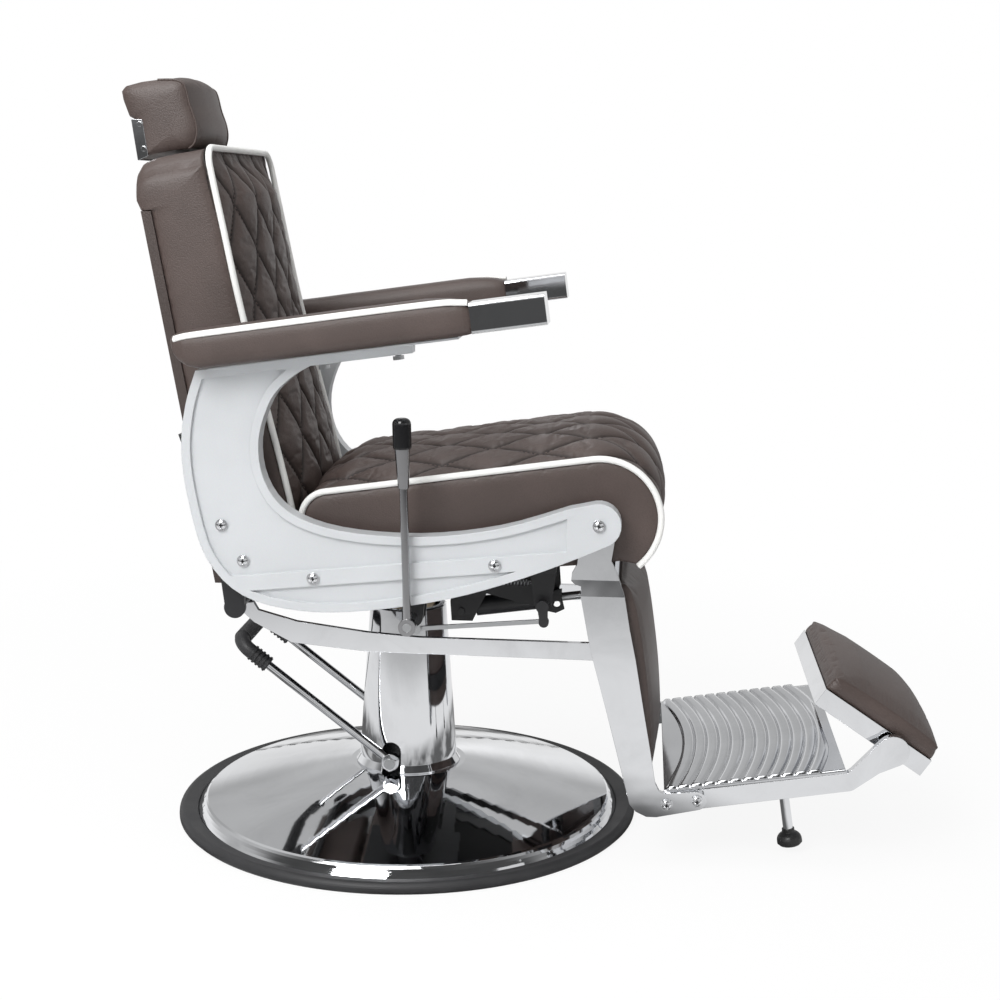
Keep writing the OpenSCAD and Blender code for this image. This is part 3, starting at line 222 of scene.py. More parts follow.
class Finish(Network):
    """A material under construction, with one Principled shader."""

    def __init__(self, name):
        self.material = bpy.data.materials.new(name)
        self.material.use_nodes = True
        super().__init__(self.material.node_tree, "Object")
        self.shader = self.tree.nodes.new("ShaderNodeBsdfPrincipled")
        self.out = self.tree.nodes.new("ShaderNodeOutputMaterial")
        self.tree.links.new(self.shader.outputs[0], self.out.inputs["Surface"])

    def set(self, **values):
        for key, value in values.items():
            feed(self.tree, self.shader.inputs[key.replace("_", " ")], value)
        return self.material


# ================================================================ finishes


def leather(name, tint, quilted=None):
    """Coated leatherette: pebbled cells with painted shade in their hollows, faint creases, worn sheen;
    optional sewn diamonds on the UV map, darkened along their seams with painted shade.

    quilted is (diamond width, diamond length) in metres. The UV map holds metres across and along,
    and the attribute "sewn" is 1 where the diamonds are sewn.
    """
    f = Finish(name)
    cloud = f.noise(9.0, 4.0)
    pebble = f.cells(520.0)
    fine = f.noise(1500.0, 2.0)
    crease = f.noise(55.0, 5.0, 0.7, distortion=0.6)
    shade = f.mix(cloud.band(0.3, 0.75), [c * 0.86 for c in tint], [c * 1.12 for c in tint])
    # painted shade: the pebble grain is darkened towards its cell edges, the hollows where the bump sinks
    shade = f.mix((pebble * 1.2).clamp() * 0.35, shade, [c * 0.62 for c in tint])
    height = pebble * -0.7 + fine * 0.25 + crease * 0.5
    rough = 0.42 + (cloud - 0.5) * 0.12 + pebble * 0.08
    if quilted:
        wide, long = quilted
        x, y, _ = f.split(f.add("ShaderNodeUVMap", {"uv_map": "UVMap"}, out="UV"))
        sewn = f.attribute("sewn")
        step = 1.0 / math.hypot(1 / wide, 1 / long)
        p = x / wide + y / long
        q = x / wide - y / long
        near_p = p.to_line() * step
        near_q = q.to_line() * step
        near = near_p.least(near_q)
        # painted shade: the narrow groove mask (also sunk in the bump and roughened) and the broad mask below
        # darken the colour towards the seams
        groove = (1.0 - near.band(0.0008, 0.0055)) * sewn
        valley_shade = (1.0 - near.band(0.003, 0.017)) * sewn
        pucker = f.noise(120.0, 2.0) * (1.0 - near.band(0.004, 0.022)) * sewn
        run = near_p.math("LESS_THAN", near_q)
        along = q * run + p * (1.0 - run)
        stitch = (along * (step / 0.0042 * 3.14159 * 1.25)).sine().band(-0.35, 0.1)
        thread = (1.0 - (near - 0.0012).size().band(0.0002, 0.0007)) * stitch * sewn
        # painted shade along the seams: broad darkening, then strong darkening in the grooves; the thread
        # keeps its own lighter colour
        shade = f.mix(valley_shade * 0.45, shade, [c * 0.45 for c in tint])
        shade = f.mix(groove * 0.9, shade, [c * 0.16 for c in tint])
        shade = f.mix(thread * 0.75, shade, [c * 1.9 for c in tint])
        height = height - groove * 2.4 + pucker * 2.2 + thread * 1.2
        rough = rough + groove * 0.2
    return f.set(Base_Color=shade, Roughness=rough, Specular_IOR_Level=0.48,
                 Normal=f.bump(height, 0.00045, 0.65))


def welt_cloth(name, tint):
    """Smooth coated cord cover with a faint grain and a little soiling."""
    f = Finish(name)
    soil = f.noise(26.0, 4.0).band(0.45, 0.85)
    grain = f.cells(900.0)
    shade = f.mix(soil * 0.35, tint, [tint[0] * 0.86, tint[1] * 0.84, tint[2] * 0.8])
    return f.set(Base_Color=shade, Roughness=0.42 + soil * 0.12,
                 Normal=f.bump(grain * -0.6 + f.noise(260.0) * 0.5, 0.0002, 0.5))


def chrome(name, tint=(0.80, 0.81, 0.83), haze=0.05, edge=0.0008):
    """Bright plating: slight waviness, polishing haze, wiped smears, and cloudy darker patches of painted
    reflection.
    """
    f = Finish(name)
    smear_and_painted_reflection = f.noise(7.0, 5.0, 0.62, distortion=0.8)
    wipe = f.noise(42.0, 3.0, at=f.stretch((1.0, 0.35, 2.2)))
    # painted reflection: cloudy patches of darker colour stand in for dark reflections; the same noise
    # roughens the plating as wiped smears
    shade = f.mix(smear_and_painted_reflection.band(0.38, 0.72) * 0.35, tint, [c * 0.72 for c in tint])
    rough = haze + smear_and_painted_reflection.band(0.45, 0.8) * 0.05 + wipe.band(0.55, 0.8) * 0.03
    wave = f.bump(f.noise(14.0, 2.0), 0.0009, 0.10, under=f.soft_edges(edge))
    return f.set(Base_Color=shade, Metallic=1.0, Roughness=rough, Normal=wave)


def bolt_chrome(name):
    """Plated screw heads whose driver recess is painted near black as painted shade; the attribute "sewn" is
    1 in the recess.
    """
    f = Finish(name)
    pit = f.attribute("sewn")
    wear = f.noise(300.0, 3.0)
    # painted shade: the driver recess is coloured near black
    shade = f.mix(pit, (0.8, 0.81, 0.83), (0.05, 0.05, 0.052))
    return f.set(Base_Color=shade, Metallic=1.0, Roughness=0.1 + pit * 0.4 + wear * 0.06)


def silver_paint(name, tint):
    """Sprayed aluminium casting: fine orange peel and light metallic fleck."""
    f = Finish(name)
    cloud = f.noise(6.0, 3.0)
    fleck = f.cells(2600.0, out="Color")
    grey = f.mix(cloud.band(0.3, 0.8), [c * 0.96 for c in tint], [c * 1.03 for c in tint])
    shade = f.mix(0.06, grey, fleck)
    peel = f.bump(f.noise(420.0, 2.0) + f.noise(60.0, 2.0) * 1.4, 0.00016, 0.4, under=f.soft_edges(0.0016))
    return f.set(Base_Color=shade, Roughness=0.36 + cloud * 0.08, Metallic=0.12, Coat_Weight=0.25,
                 Coat_Roughness=0.18, Normal=peel)


def painted(name, tint, rough=0.42):
    """Stoved enamel on a formed steel part, with light scuffs."""
    f = Finish(name)
    scuff = f.noise(34.0, 5.0, 0.7).band(0.62, 0.8)
    shade = f.mix(scuff * 0.3, tint, [c * 2.2 + 0.01 for c in tint])
    peel = f.bump(f.noise(300.0, 2.0), 0.00015, 0.4, under=f.soft_edges(0.001))
    return f.set(Base_Color=shade, Roughness=rough + scuff * 0.15, Normal=peel)


def turned_steel(name, tint=(0.56, 0.57, 0.58), rough=0.26):
    """Machined steel: fine tool rings and slight staining."""
    f = Finish(name)
    rings = f.noise(160.0, 2.0, at=f.stretch((0.25, 3.0, 3.0)))
    stain = f.noise(20.0, 4.0).band(0.5, 0.85)
    shade = f.mix(stain * 0.5, tint, [c * 0.7 for c in tint])
    return f.set(Base_Color=shade, Metallic=1.0, Roughness=rough + stain * 0.14 + rings * 0.06,
                 Normal=f.bump(rings, 0.00012, 0.5, under=f.soft_edges(0.0005)))


def rubber(name, tint=(0.028, 0.028, 0.03)):
    """Moulded black rubber with bloom and scuffed highlights."""
    f = Finish(name)
    bloom = f.noise(12.0, 5.0, 0.65).band(0.4, 0.8)
    grit = f.noise(700.0, 2.0)
    shade = f.mix(bloom * 0.5, tint, [c * 2.0 for c in tint])
    return f.set(Base_Color=shade, Roughness=0.5 + bloom * 0.18,
                 Normal=f.bump(grit, 0.0002, 0.5, under=f.soft_edges(0.001)))


def cast_metal(name, tint=(0.07, 0.07, 0.075)):
    """Sand-cast body with a coarse skin under black paint."""
    f = Finish(name)
    sand = f.noise(240.0, 4.0, 0.7)
    shade = f.mix(f.noise(15.0, 3.0).band(0.4, 0.8), tint, [c * 1.5 for c in tint])
    return f.set(Base_Color=shade, Roughness=0.55 + sand * 0.15, Normal=f.bump(sand, 0.0006, 0.6))


def dust_cloth(name):
    """Thin black spun cloth stapled under the seat."""
    f = Finish(name)
    fibre = f.noise(900.0, 3.0)
    sag = f.noise(16.0, 3.0)
    return f.set(Base_Color=f.mix(fibre, (0.006, 0.006, 0.006), (0.02, 0.02, 0.021)), Roughness=0.85,
                 Normal=f.bump(sag * 4.0 + fibre * 0.3, 0.0004, 0.5))


def moulded(name, tint, rough, edge=0.0012):
    """Moulded plastic with a fine spark-eroded skin."""
    f = Finish(name)
    skin = f.noise(800.0, 2.0)
    scuff = f.noise(30.0, 4.0).band(0.6, 0.85)
    shade = f.mix(scuff * 0.35, tint, [c * 1.8 + 0.005 for c in tint])
    return f.set(Base_Color=shade, Roughness=rough + scuff * 0.12,
                 Normal=f.bump(skin, 0.00012, 0.35, under=f.soft_edges(edge)))


# ================================================================ lines and surfaces in numpy


def smooth_line(points, per=24):
    """Catmull-Rom curve: between neighbours b and c, (2b + (c-a)t + (2a-5b+4c-d)t^2 + (3b-a-3c+d)t^3)/2."""
    p = np.asarray(points, float)
    a = np.vstack([p[:1], p, p[-1:]])
    t = np.linspace(0, 1, per, endpoint=False)[None, :, None]
    w, x, y, z = (a[k:len(p) - 1 + k, None, :] for k in range(4))
    q = (2 * x + (y - w) * t + (2 * w - 5 * x + 4 * y - z) * t**2 + (3 * x - w - 3 * y + z) * t**3) / 2
    return np.vstack([q.reshape(-1, p.shape[1]), p[-1:]])


def evenly(line, count):
    """The line resampled at count + 1 points, equal steps of arc length apart; also its length."""
    line = np.asarray(line, float)
    run = np.concatenate([[0], np.cumsum(np.linalg.norm(np.diff(line, axis=0), axis=1))])
    s = np.linspace(0, run[-1], count + 1)
    return np.stack([np.interp(s, run, line[:, k]) for k in range(line.shape[1])], 1), run[-1]


def arc(centre, radius, start, end, count=40):
    """Points centre + radius (cos a, sin a) for a from start to end degrees."""
    a = np.radians(np.linspace(start, end, count + 1))
    return np.asarray(centre, float) + radius * np.stack([np.cos(a), np.sin(a)], 1)


def left_normals(line):
    """Unit normals (-dz, du) to the left of a side-view line, by central differences."""
    d = np.gradient(np.asarray(line, float), axis=0)
    n = np.stack([-d[:, 1], d[:, 0]], 1)
    return n / np.linalg.norm(n, axis=1)[:, None]


def make_object(name, points, faces, uv=None, sewn=None, material=None, smooth=True, merge=0.0, ends=()):
    """A mesh object at the origin. points are metres, uv and sewn are per vertex, ends are triangles
    that close a tube; merge joins points that lie closer than that."""
    mesh = bpy.data.meshes.new(name)
    mesh.from_pydata(points.tolist(), [], faces.tolist() + list(ends))
    index = np.empty(len(mesh.loops), np.int32)
    mesh.loops.foreach_get("vertex_index", index)
    if uv is not None:
        mesh.uv_layers.new(name="UVMap").data.foreach_set("uv", uv[index].astype(np.float32).ravel())
    if sewn is not None:
        mesh.attributes.new("sewn", "FLOAT", "POINT").data.foreach_set("value", sewn.astype(np.float32))
    if merge or ends:
        b = bmesh.new()
        b.from_mesh(mesh)
        if merge:
            bmesh.ops.remove_doubles(b, verts=b.verts, dist=merge)
            bmesh.ops.dissolve_degenerate(b, edges=b.edges, dist=merge)
        bmesh.ops.recalc_face_normals(b, faces=b.faces)
        b.to_mesh(mesh)
        b.free()
    mesh.polygons.foreach_set("use_smooth", np.full(len(mesh.polygons), smooth))
    if material:
        mesh.materials.append(material)
    obj = bpy.data.objects.new(name, mesh)
    bpy.context.scene.collection.objects.link(obj)
    return obj


def grid_faces(rows, columns):
    """Quads over a grid whose points run row by row, each row being a closed ring."""
    a = np.arange((rows - 1) * columns)
    b = a // columns * columns + (a + 1) % columns
    return np.stack([a, b, b + columns, a + columns], -1)


def make_grid(name, points, uv=None, sewn=None, material=None, merge=0.0):
    """A mesh object from a grid of points whose rows are closed rings; uv and sewn are grids as well."""
    uv = None if uv is None else uv.reshape(-1, 2)
    sewn = None if sewn is None else sewn.ravel()
    faces = grid_faces(*points.shape[:2])
    return make_object(name, points.reshape(-1, 3), faces, uv, sewn, material, merge=merge)


def sweep(name, path, radius, material, up, sides, flat=1.0):
    """A closed tube: path point + radius (side cos a + flat * over sin a), with side = tangent x up."""
    path = np.asarray(path, float)
    t = np.gradient(path, axis=0)
    t /= np.linalg.norm(t, axis=1)[:, None]
    s = np.cross(t, np.broadcast_to(np.asarray(up, float), t.shape))
    s /= np.linalg.norm(s, axis=1)[:, None]
    o = np.cross(s, t)
    a = np.linspace(0, 2 * np.pi, sides, endpoint=False)
    r = np.broadcast_to(np.asarray(radius, float), (len(path),))[:, None, None]
    a = a[None, :, None]
    ring = path[:, None] + r * (s[:, None] * np.cos(a) + flat * o[:, None] * np.sin(a))
    points = np.vstack([ring.reshape(-1, 3), path[:1], path[-1:]])
    n, last = len(points) - 2, (len(path) - 1) * sides
    j = np.arange(sides)
    k = (j + 1) % sides
    start = np.stack([np.full(sides, n), k, j], 1)
    end = np.stack([np.full(sides, n + 1), last + j, last + k], 1)
    return make_object(name, points, grid_faces(len(path), sides), material=material,
                       ends=np.vstack([start, end]).tolist())


def to_metres(x, side_view):
    """Joins a coordinate across with side-view points: (x, -forward, height), in metres."""
    x = np.broadcast_to(np.asarray(x, float), side_view.shape[:-1])
    return np.stack([x, -side_view[..., 0], side_view[..., 1]], -1) / 1000.0


def fade(t, start, end):
    """Rises from 0 to 1 over the share start and falls over the share end, 0.35 of it as a smooth step."""
    f = np.minimum(1, np.minimum(t / max(start, 1e-3), (1 - t) / max(end, 1e-3)))
    return f * f * (3 - 2 * f) * 0.35 + f * 0.65


def quilt(x, s, wide, long, depth, spread=7.0):
    """Depth below the puffed surface: depth (1 - (1-exp(-p/spread)) (1-exp(-q/spread))), p and q being the
    distances to the nearest seam of each slanting family; also the smaller of the two."""
    step = 1.0 / math.hypot(1 / wide, 1 / long)
    a = x / wide + s / long
    b = x / wide - s / long
    p = np.abs(a - np.round(a)) * step
    q = np.abs(b - np.round(b)) * step
    return depth * (1 - (1 - np.exp(-p / spread)) * (1 - np.exp(-q / spread))), np.minimum(p, q)


def ripple(points, scale, seed):
    """A smooth field from -1 to 1: the mean of eight sine waves of random direction and phase."""
    r = np.random.default_rng(seed)
    k = r.normal(size=(8, points.shape[-1])) * scale
    phase = r.uniform(0, 2 * np.pi, 8)
    return np.sin(points @ k.T + phase).mean(-1)


class Cushion:
    """A boxed cushion: a face along a side-view line, a back that closes it, and two side panels.

    Rows run across the cushion and columns run round its outline, both in millimetres. A face point is
    moved along the line's normal by crown (1 - |x/half|^2.4) fade; side rows shrink the outline to a spine.
    A corner above 0 rounds the two top corners with that radius.
    """

    def __init__(self, face, back, width, crown, ends, spine, count=80, around=120, corner=0.0, bulge=5.0,
                 side_rows=9, edge=4.0):
        self.face, self.length = evenly(face, around)
        self.normals = left_normals(self.face)
        back_line, _ = evenly(np.vstack([self.face[-1:], back, self.face[:1]]), around // 2)
        back_line = back_line[1:-1]
        self.half = width / 2 - edge
        self.face_count = n = around + 1
        t = np.linspace(0, 1, n)
        x = np.linspace(-self.half, self.half, count + 1)[:, None]
        rise = crown * (1 - np.abs(x / self.half) ** 2.4)
        out = np.maximum(0, np.abs(x) - (self.half - corner))
        drop = corner - np.sqrt(np.maximum(0, corner * corner - out * out)) if corner else np.zeros_like(x)
        line = self.face[None] + self.normals[None] * (rise * fade(t, *ends)[None])[..., None]
        line[..., 1] -= drop * np.maximum(0, 1 - t * 5)[None]
        rear = np.broadcast_to(back_line[None], (count + 1,) + back_line.shape).copy()
        rear[..., 1] -= drop * np.clip((back_line[None, :, 1] - BOARD_HIGH) / BACK_ROUND, 0, 1)
        self.rows = np.concatenate([line, rear], 1)
        self.x = np.broadcast_to(x, self.rows.shape[:2]).copy()
        along = np.concatenate([t * self.length, np.zeros(len(back_line))])
        self.s = np.broadcast_to(along[None], self.x.shape)
        self.on_face = np.broadcast_to((np.arange(self.rows.shape[1]) < n)[None], self.x.shape)
        self.bulge, self.side_rows, self.edge, self.spine = bulge, side_rows, edge, spine
        self.seam = np.zeros(self.x.shape)

    def sew(self, wide, long, depth, shift, shy=20.0):
        """Draws the face in along slanting seams that cross at shift along it, less so near its border."""
        n = self.face_count
        x, s = self.x[:, :n], self.s[:, :n]
        reach = np.minimum(self.half - np.abs(x), np.minimum(s, self.length - s))
        inside = np.clip(reach / shy, 0, 1)
        push, near = quilt(x, s - shift, wide, long, depth)
        self.rows[:, :n] -= self.normals[None] * (push * inside)[..., None]
        self.seam[:, :n] = np.exp(-(near / 4.5) ** 2) * inside
        self.s = self.s - shift

    def side(self, end):
        """Rows of one side panel: outline points travel to their nearest point of the spine while the
        panel swells by bulge (1 - (1-t)^2.5), t running from the outline to the spine."""
        ring = self.rows[end]
        a, b = np.asarray(self.spine, float)
        along = np.clip(((ring - a) @ (b - a)) / ((b - a) @ (b - a)), 0, 1)[:, None]
        goal = a + (b - a) * along
        gap = np.linalg.norm(goal - ring, axis=1)[:, None]
        t = (np.linspace(0, 1, self.side_rows + 1)[1:] ** 1.6)[:, None]
        rows = ring[None] + (goal - ring)[None] * t[..., None]
        out = self.edge * (1 - np.exp(-t * gap[:, 0][None] / 5)) + self.bulge * (1 - (1 - t) ** 2.5)
        return rows, (-1 if end == 0 else 1) * (self.half + out)

    def arrays(self):
        """Points in metres, and per point the UV (metres across and along), the sewn mask and the hold."""
        left, left_x = self.side(-1)
        right, right_x = self.side(0)
        pad = np.zeros(left_x.shape)
        grip = np.clip(np.linspace(0.6, 1.7, len(pad))[:, None], 0, 1) + pad
        rows = np.concatenate([right[::-1], self.rows, left])
        x = np.concatenate([right_x[::-1], self.x, left_x])
        s = np.concatenate([pad, self.s, pad])
        mask = np.concatenate([pad, self.on_face * 1.0, pad])
        border = np.zeros(self.x.shape)
        border[[0, -1]] = 1
        border[:, [0, self.face_count - 1]] = 1
        hold = np.maximum(np.maximum(border, self.seam), ~self.on_face * 0.9)
        hold = np.concatenate([grip[::-1], hold, grip])
        return to_metres(x, rows), np.stack([x, s], -1) / 1000.0, mask, hold


def swell(points, hold, cap, pressure, slack):
    """Cloth run over a closed grid: how far each point moves, at most cap, where hold doesn't pin it."""
    flat = points.reshape(-1, 3)
    mesh = bpy.data.meshes.new("swell")
    mesh.from_pydata(flat.tolist(), [], grid_faces(*points.shape[:2]).tolist())
    b = bmesh.new()
    b.from_mesh(mesh)
    bmesh.ops.remove_doubles(b, verts=b.verts, dist=DOUBLES)
    bmesh.ops.dissolve_degenerate(b, edges=b.edges, dist=DOUBLES)
    bmesh.ops.recalc_face_normals(b, faces=b.faces)
    b.to_mesh(mesh)
    b.free()
    start = np.empty(len(mesh.vertices) * 3)
    mesh.vertices.foreach_get("co", start)
    start = start.reshape(-1, 3)
    tree = KDTree(len(start))
    for i, p in enumerate(start):
        tree.insert(p, i)
    tree.balance()
    index = np.array([tree.find(p)[1] for p in flat])
    weight = np.zeros(len(start))
    np.maximum.at(weight, index, hold.ravel())
    obj = bpy.data.objects.new("swell", mesh)
    scene = bpy.context.scene
    scene.collection.objects.link(obj)
    group = obj.vertex_groups.new(name="hold")
    level = np.round(weight * HOLD_LEVELS).astype(int)
    for k in range(1, HOLD_LEVELS + 1):
        group.add(np.flatnonzero(level == k).tolist(), k / HOLD_LEVELS, "REPLACE")
    cloth = obj.modifiers.new("cloth", "CLOTH")
    c = cloth.settings
    c.quality, c.mass, c.air_damping = 5, 0.3, 2.0
    c.tension_stiffness, c.compression_stiffness, c.shear_stiffness, c.bending_stiffness = 12, 12, 4, 0.6
    c.use_pressure, c.uniform_pressure_force = True, pressure
    c.vertex_group_mass, c.shrink_min = "hold", -slack
    c.effector_weights.gravity = 0
    cloth.collision_settings.use_collision = False
    for step in range(1, CLOTH_STEPS + 1):
        scene.frame_set(step)
    done = obj.evaluated_get(bpy.context.evaluated_depsgraph_get()).data
    end = np.empty(len(start) * 3)
    done.vertices.foreach_get("co", end)
    bpy.data.objects.remove(obj)
    scene.frame_set(1)
    move = (end.reshape(-1, 3) - start)[index]
    length = np.linalg.norm(move, axis=1)[:, None]
    return (move * np.minimum(1, cap / np.maximum(length, 1e-9))).reshape(points.shape)


def upholster(name, material, make, cap=0.004, pressure=4.0, slack=0.012):
    """A padded piece: make(k) gives the cushion at k times its plain resolution. The cloth run is made on
    the plain one, and its moves are carried to the double one between the same rows and columns."""
    points, uv, mask, _ = make(2).arrays()
    plain, _, _, hold = make(1).arrays()
    move = swell(plain, hold, cap, pressure, slack)
    i = np.minimum(np.arange(points.shape[0]) / 2, move.shape[0] - 1)
    a, b = np.floor(i).astype(int), np.ceil(i).astype(int)
    move = (move[a] + move[b]) / 2
    c = np.arange(points.shape[1]) / 2
    a, b = np.floor(c).astype(int), np.ceil(c).astype(int) % move.shape[1]
    points = points + (move[:, a] + move[:, b]) / 2
    return make_grid(name, points, uv=uv, sewn=mask, material=material, merge=DOUBLES)


def self_cord(cushion, sign, radius, material):
    """A thin cord of the cover's own stuff along one side edge of a cushion's face."""
    line = cushion.rows[-1 if sign > 0 else 0][:cushion.face_count]
    return sweep("self_cord", to_metres(sign * (cushion.half + 0.6), line), radius, material, (1, 0, 0), 8)


def dress(obj, body, slot, *replaced, fill=None):
    """The piece rides on its body and stands for the CAD nodes named; its slot is not used."""
    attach(obj, body)
    if replaced:
        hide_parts(*replaced)
    return obj


# ================================================================ settings


def size(label, about, value, low, high):
    return bpy.props.FloatProperty(name=label, description=about, default=value, min=low, max=high,
                                   precision=4, subtype="DISTANCE", unit="LENGTH")


def colour(label, about, value):
    return bpy.props.FloatVectorProperty(name=label, description=about, default=value, min=0, max=1,
                                         size=3, subtype="COLOR")


class ChairUpholstery(bpy.types.PropertyGroup):
    """Sizes and colours of the soft work."""

    hide: colour("Hide", "Colour of the brown leatherette", (0.089, 0.065, 0.058))
    welt: colour("Welt", "Colour of the piping", (0.86, 0.86, 0.84))
    channel: size("Channel depth", "Depth of the sewn channels", 0.009, 0.002, 0.012)
    seat_crown: size("Seat crown", "Height of the seat's crown", 0.037, 0.005, 0.05)
    back_crown: size("Back crown", "Height of the backrest's crown", 0.031, 0.005, 0.05)
    cord: size("Piping diameter", "Diameter of the piping on seat and back", 0.009, 0.005, 0.012)


class ChairMetal(bpy.types.PropertyGroup):
    """Colours of the hard finishes."""

    casting: colour("Casting", "Paint of the side frames", (0.62, 0.64, 0.66))
    enamel: colour("Enamel", "Black paint of the brackets", (0.018, 0.018, 0.02))


class ChairStudio(bpy.types.PropertyGroup):
    """The room the chair stands in."""

    lamp: bpy.props.FloatProperty(name="Lamp", description="Strength of the soft lamps", default=1.0,
                                  min=0.1, max=4)
    floor: colour("Floor", "Colour of the floor", (0.93, 0.93, 0.93))


def shop():
    return bpy.context.scene.chair_upholstery, bpy.context.scene.chair_metal, bpy.context.scene.chair_studio


# ================================================================ operators


def seat_face():
    """The seat's side-view line: up over its rear roll, along the top, and round the front pivot."""
    square = 90 + SEAT_SLOPE
    return np.vstack([[[-114, 470]], arc([-79, 490], 35, 180, square, 30),
                      arc(FRONT_PIVOT, SEAT_ARC, square, -50, 60)])


class CHAIR_OT_seat(bpy.types.Operator):
    """Quilted seat cushion with its two welts"""

    bl_idname = "chair.seat"
    bl_label = "Seat cushion"

    def execute(self, context):
        u = shop()[0]
        wide, long, shift = SEAT_WIDE / 5.4, 139.0, 89.0
        under = [[322, 442], [300, 438], [-106, 397], [-114, 405]]
        hide = leather("seat_leatherette", u.hide, (wide / 1000, long / 1000))

        def make(k):
            c = Cushion(seat_face(), under, SEAT_WIDE, u.seat_crown * 1000, (0.16, 0.36),
                        ([-60, 460], [290, 497]), count=88 * k, around=136 * k, side_rows=9 * k, bulge=0)
            c.sew(wide, long, u.channel * 1000, shift)
            return c

        dress(upholster("seat_cover", hide, make), "seat", "upholstery", "seat_cushion", fill=0.8)
        line, _ = evenly(seat_face(), 300)
        rise = line + left_normals(line) * 4.0
        welts = []
        for sign in (-1, 1):
            path = to_metres(sign * (SEAT_WIDE / 2 - 2.2), rise)
            welts.append(sweep("seat_welt", path, u.cord / 2, material("welt"), (1, 0, 0), 14))
        dress(join("seat_welt", welts), "seat", "piping", "seat_piping")
        return {"FINISHED"}


def join(name, objects):
    """Several meshes become one object of that name."""
    mesh = bpy.data.meshes.new(name)
    b = bmesh.new()
    for o in objects:
        b.from_mesh(o.data)
    b.to_mesh(mesh)
    b.free()
    for m in objects[0].data.materials:
        mesh.materials.append(m)
    for o in objects:
        bpy.data.objects.remove(o)
    obj = bpy.data.objects.new(name, mesh)
    bpy.context.scene.collection.objects.link(obj)
    return obj


def back_rear(z):
    return -345 + (941.5 - np.asarray(z, float)) * BACK_LEAN


def back_face():
    """The back's side-view line, from its top edge down its front to its lower edge."""
    return smooth_line([[-252, 990], [-248, 967], [-232, 888], [-206, 763], [-158, 568], [-139, 484],
                        [-136, 451]])


class CHAIR_OT_back(bpy.types.Operator):
    """Quilted back cushion with a welt round its face"""

    bl_idname = "chair.back"
    bl_label = "Back cushion"

    def execute(self, context):
        u = shop()[0]
        wide, long, shift = BACK_WIDE / 4.5, 134.0, 11.0
        hide = leather("back_leatherette", u.hide, (wide / 1000, long / 1000))
        low, board, roll = 441.0, BOARD_HIGH + 0.3, BOARD_HIGH + BACK_ROUND
        back = [[-148, low], [back_rear(low) + 14, low], [back_rear(board) + 14, board],
                [back_rear(board), board], [back_rear(roll), roll + 0.3], [back_rear(roll), roll + 15],
                [-337, roll + 28], [-320, roll + 35], [-292, roll + 41], [-264, roll + 46]]

        def make(k):
            c = Cushion(back_face(), back, BACK_WIDE, u.back_crown * 1000, (0.12, 0.1),
                        ([-290, 925], [-205, 500]), count=76 * k, around=126 * k, side_rows=9 * k,
                        corner=BACK_CORNER, bulge=3)
            c.sew(wide, long, u.channel * 1000, shift)
            return c

        dress(upholster("back_cover", hide, make), "backrest", "upholstery", "back_cushion", fill=0.8)
        line, _ = evenly(back_face(), 200)
        out = line + left_normals(line) * (u.cord * 500 + 0.6)
        x0, bend = BACK_WIDE / 2 - 4, BACK_CORNER + 6
        rise = to_metres(x0, out[::-1][:-16])
        top = line[0] + np.array([4.2, u.cord * 500 + 0.6 - BACK_ROUND * 0.1])
        a = np.radians(np.linspace(10, 90, 9))
        high = top[1] - bend * (1 - np.sin(a))
        forward = np.interp(high, out[::-1, 1], out[::-1, 0])
        corner = np.stack([x0 - bend * (1 - np.cos(a)), -forward, high], 1) / 1000
        half = np.vstack([rise, corner])
        path = np.vstack([half, [[0, -top[0] / 1000, top[1] / 1000]], half[::-1] * [-1, 1, 1]])
        path, _ = evenly(path, 500)
        welt = sweep("back_welt", path, u.cord / 2, material("welt"), (0, -1, 0.2), 14)
        dress(welt, "backrest", "piping", "back_piping")
        return {"FINISHED"}


class CHAIR_OT_headrest(bpy.types.Operator):
    """Headrest cushion with sewn side panels"""

    bl_idname = "chair.headrest"
    bl_label = "Headrest"

    def execute(self, context):
        u = shop()[0]
        face = smooth_line([[-341, 1086], [-318, 1086], [-306, 1082], [-301, 1073], [-296, 1052],
                            [-289, 1031], [-287, 1014], [-291, 999], [-299, 992]])
        back = [[-324, 989], [-352, 983], [-368, 977], [-376, 1032], [-383, 1036], [-391, 1058],
                [-393, 1070], [-387, 1077], [-364, 1083]]

        def make(k):
            return Cushion(face, back, HEADREST_WIDE, 7, (0.15, 0.2), ([-342, 1052], [-322, 1012]),
                           count=48 * k, around=64 * k, side_rows=9 * k, bulge=4)

        hide = leather("headrest_leatherette", u.hide)
        cover = upholster("headrest_cover", hide, make, cap=0.001, pressure=1.0, slack=0.001)
        seams = [self_cord(make(1), sign, 0.0016, hide) for sign in (-1, 1)]
        cover = join("headrest_cover", [cover] + seams)
        dress(cover, "headrest", "upholstery", "headrest_cushion", fill=0.85)
        return {"FINISHED"}


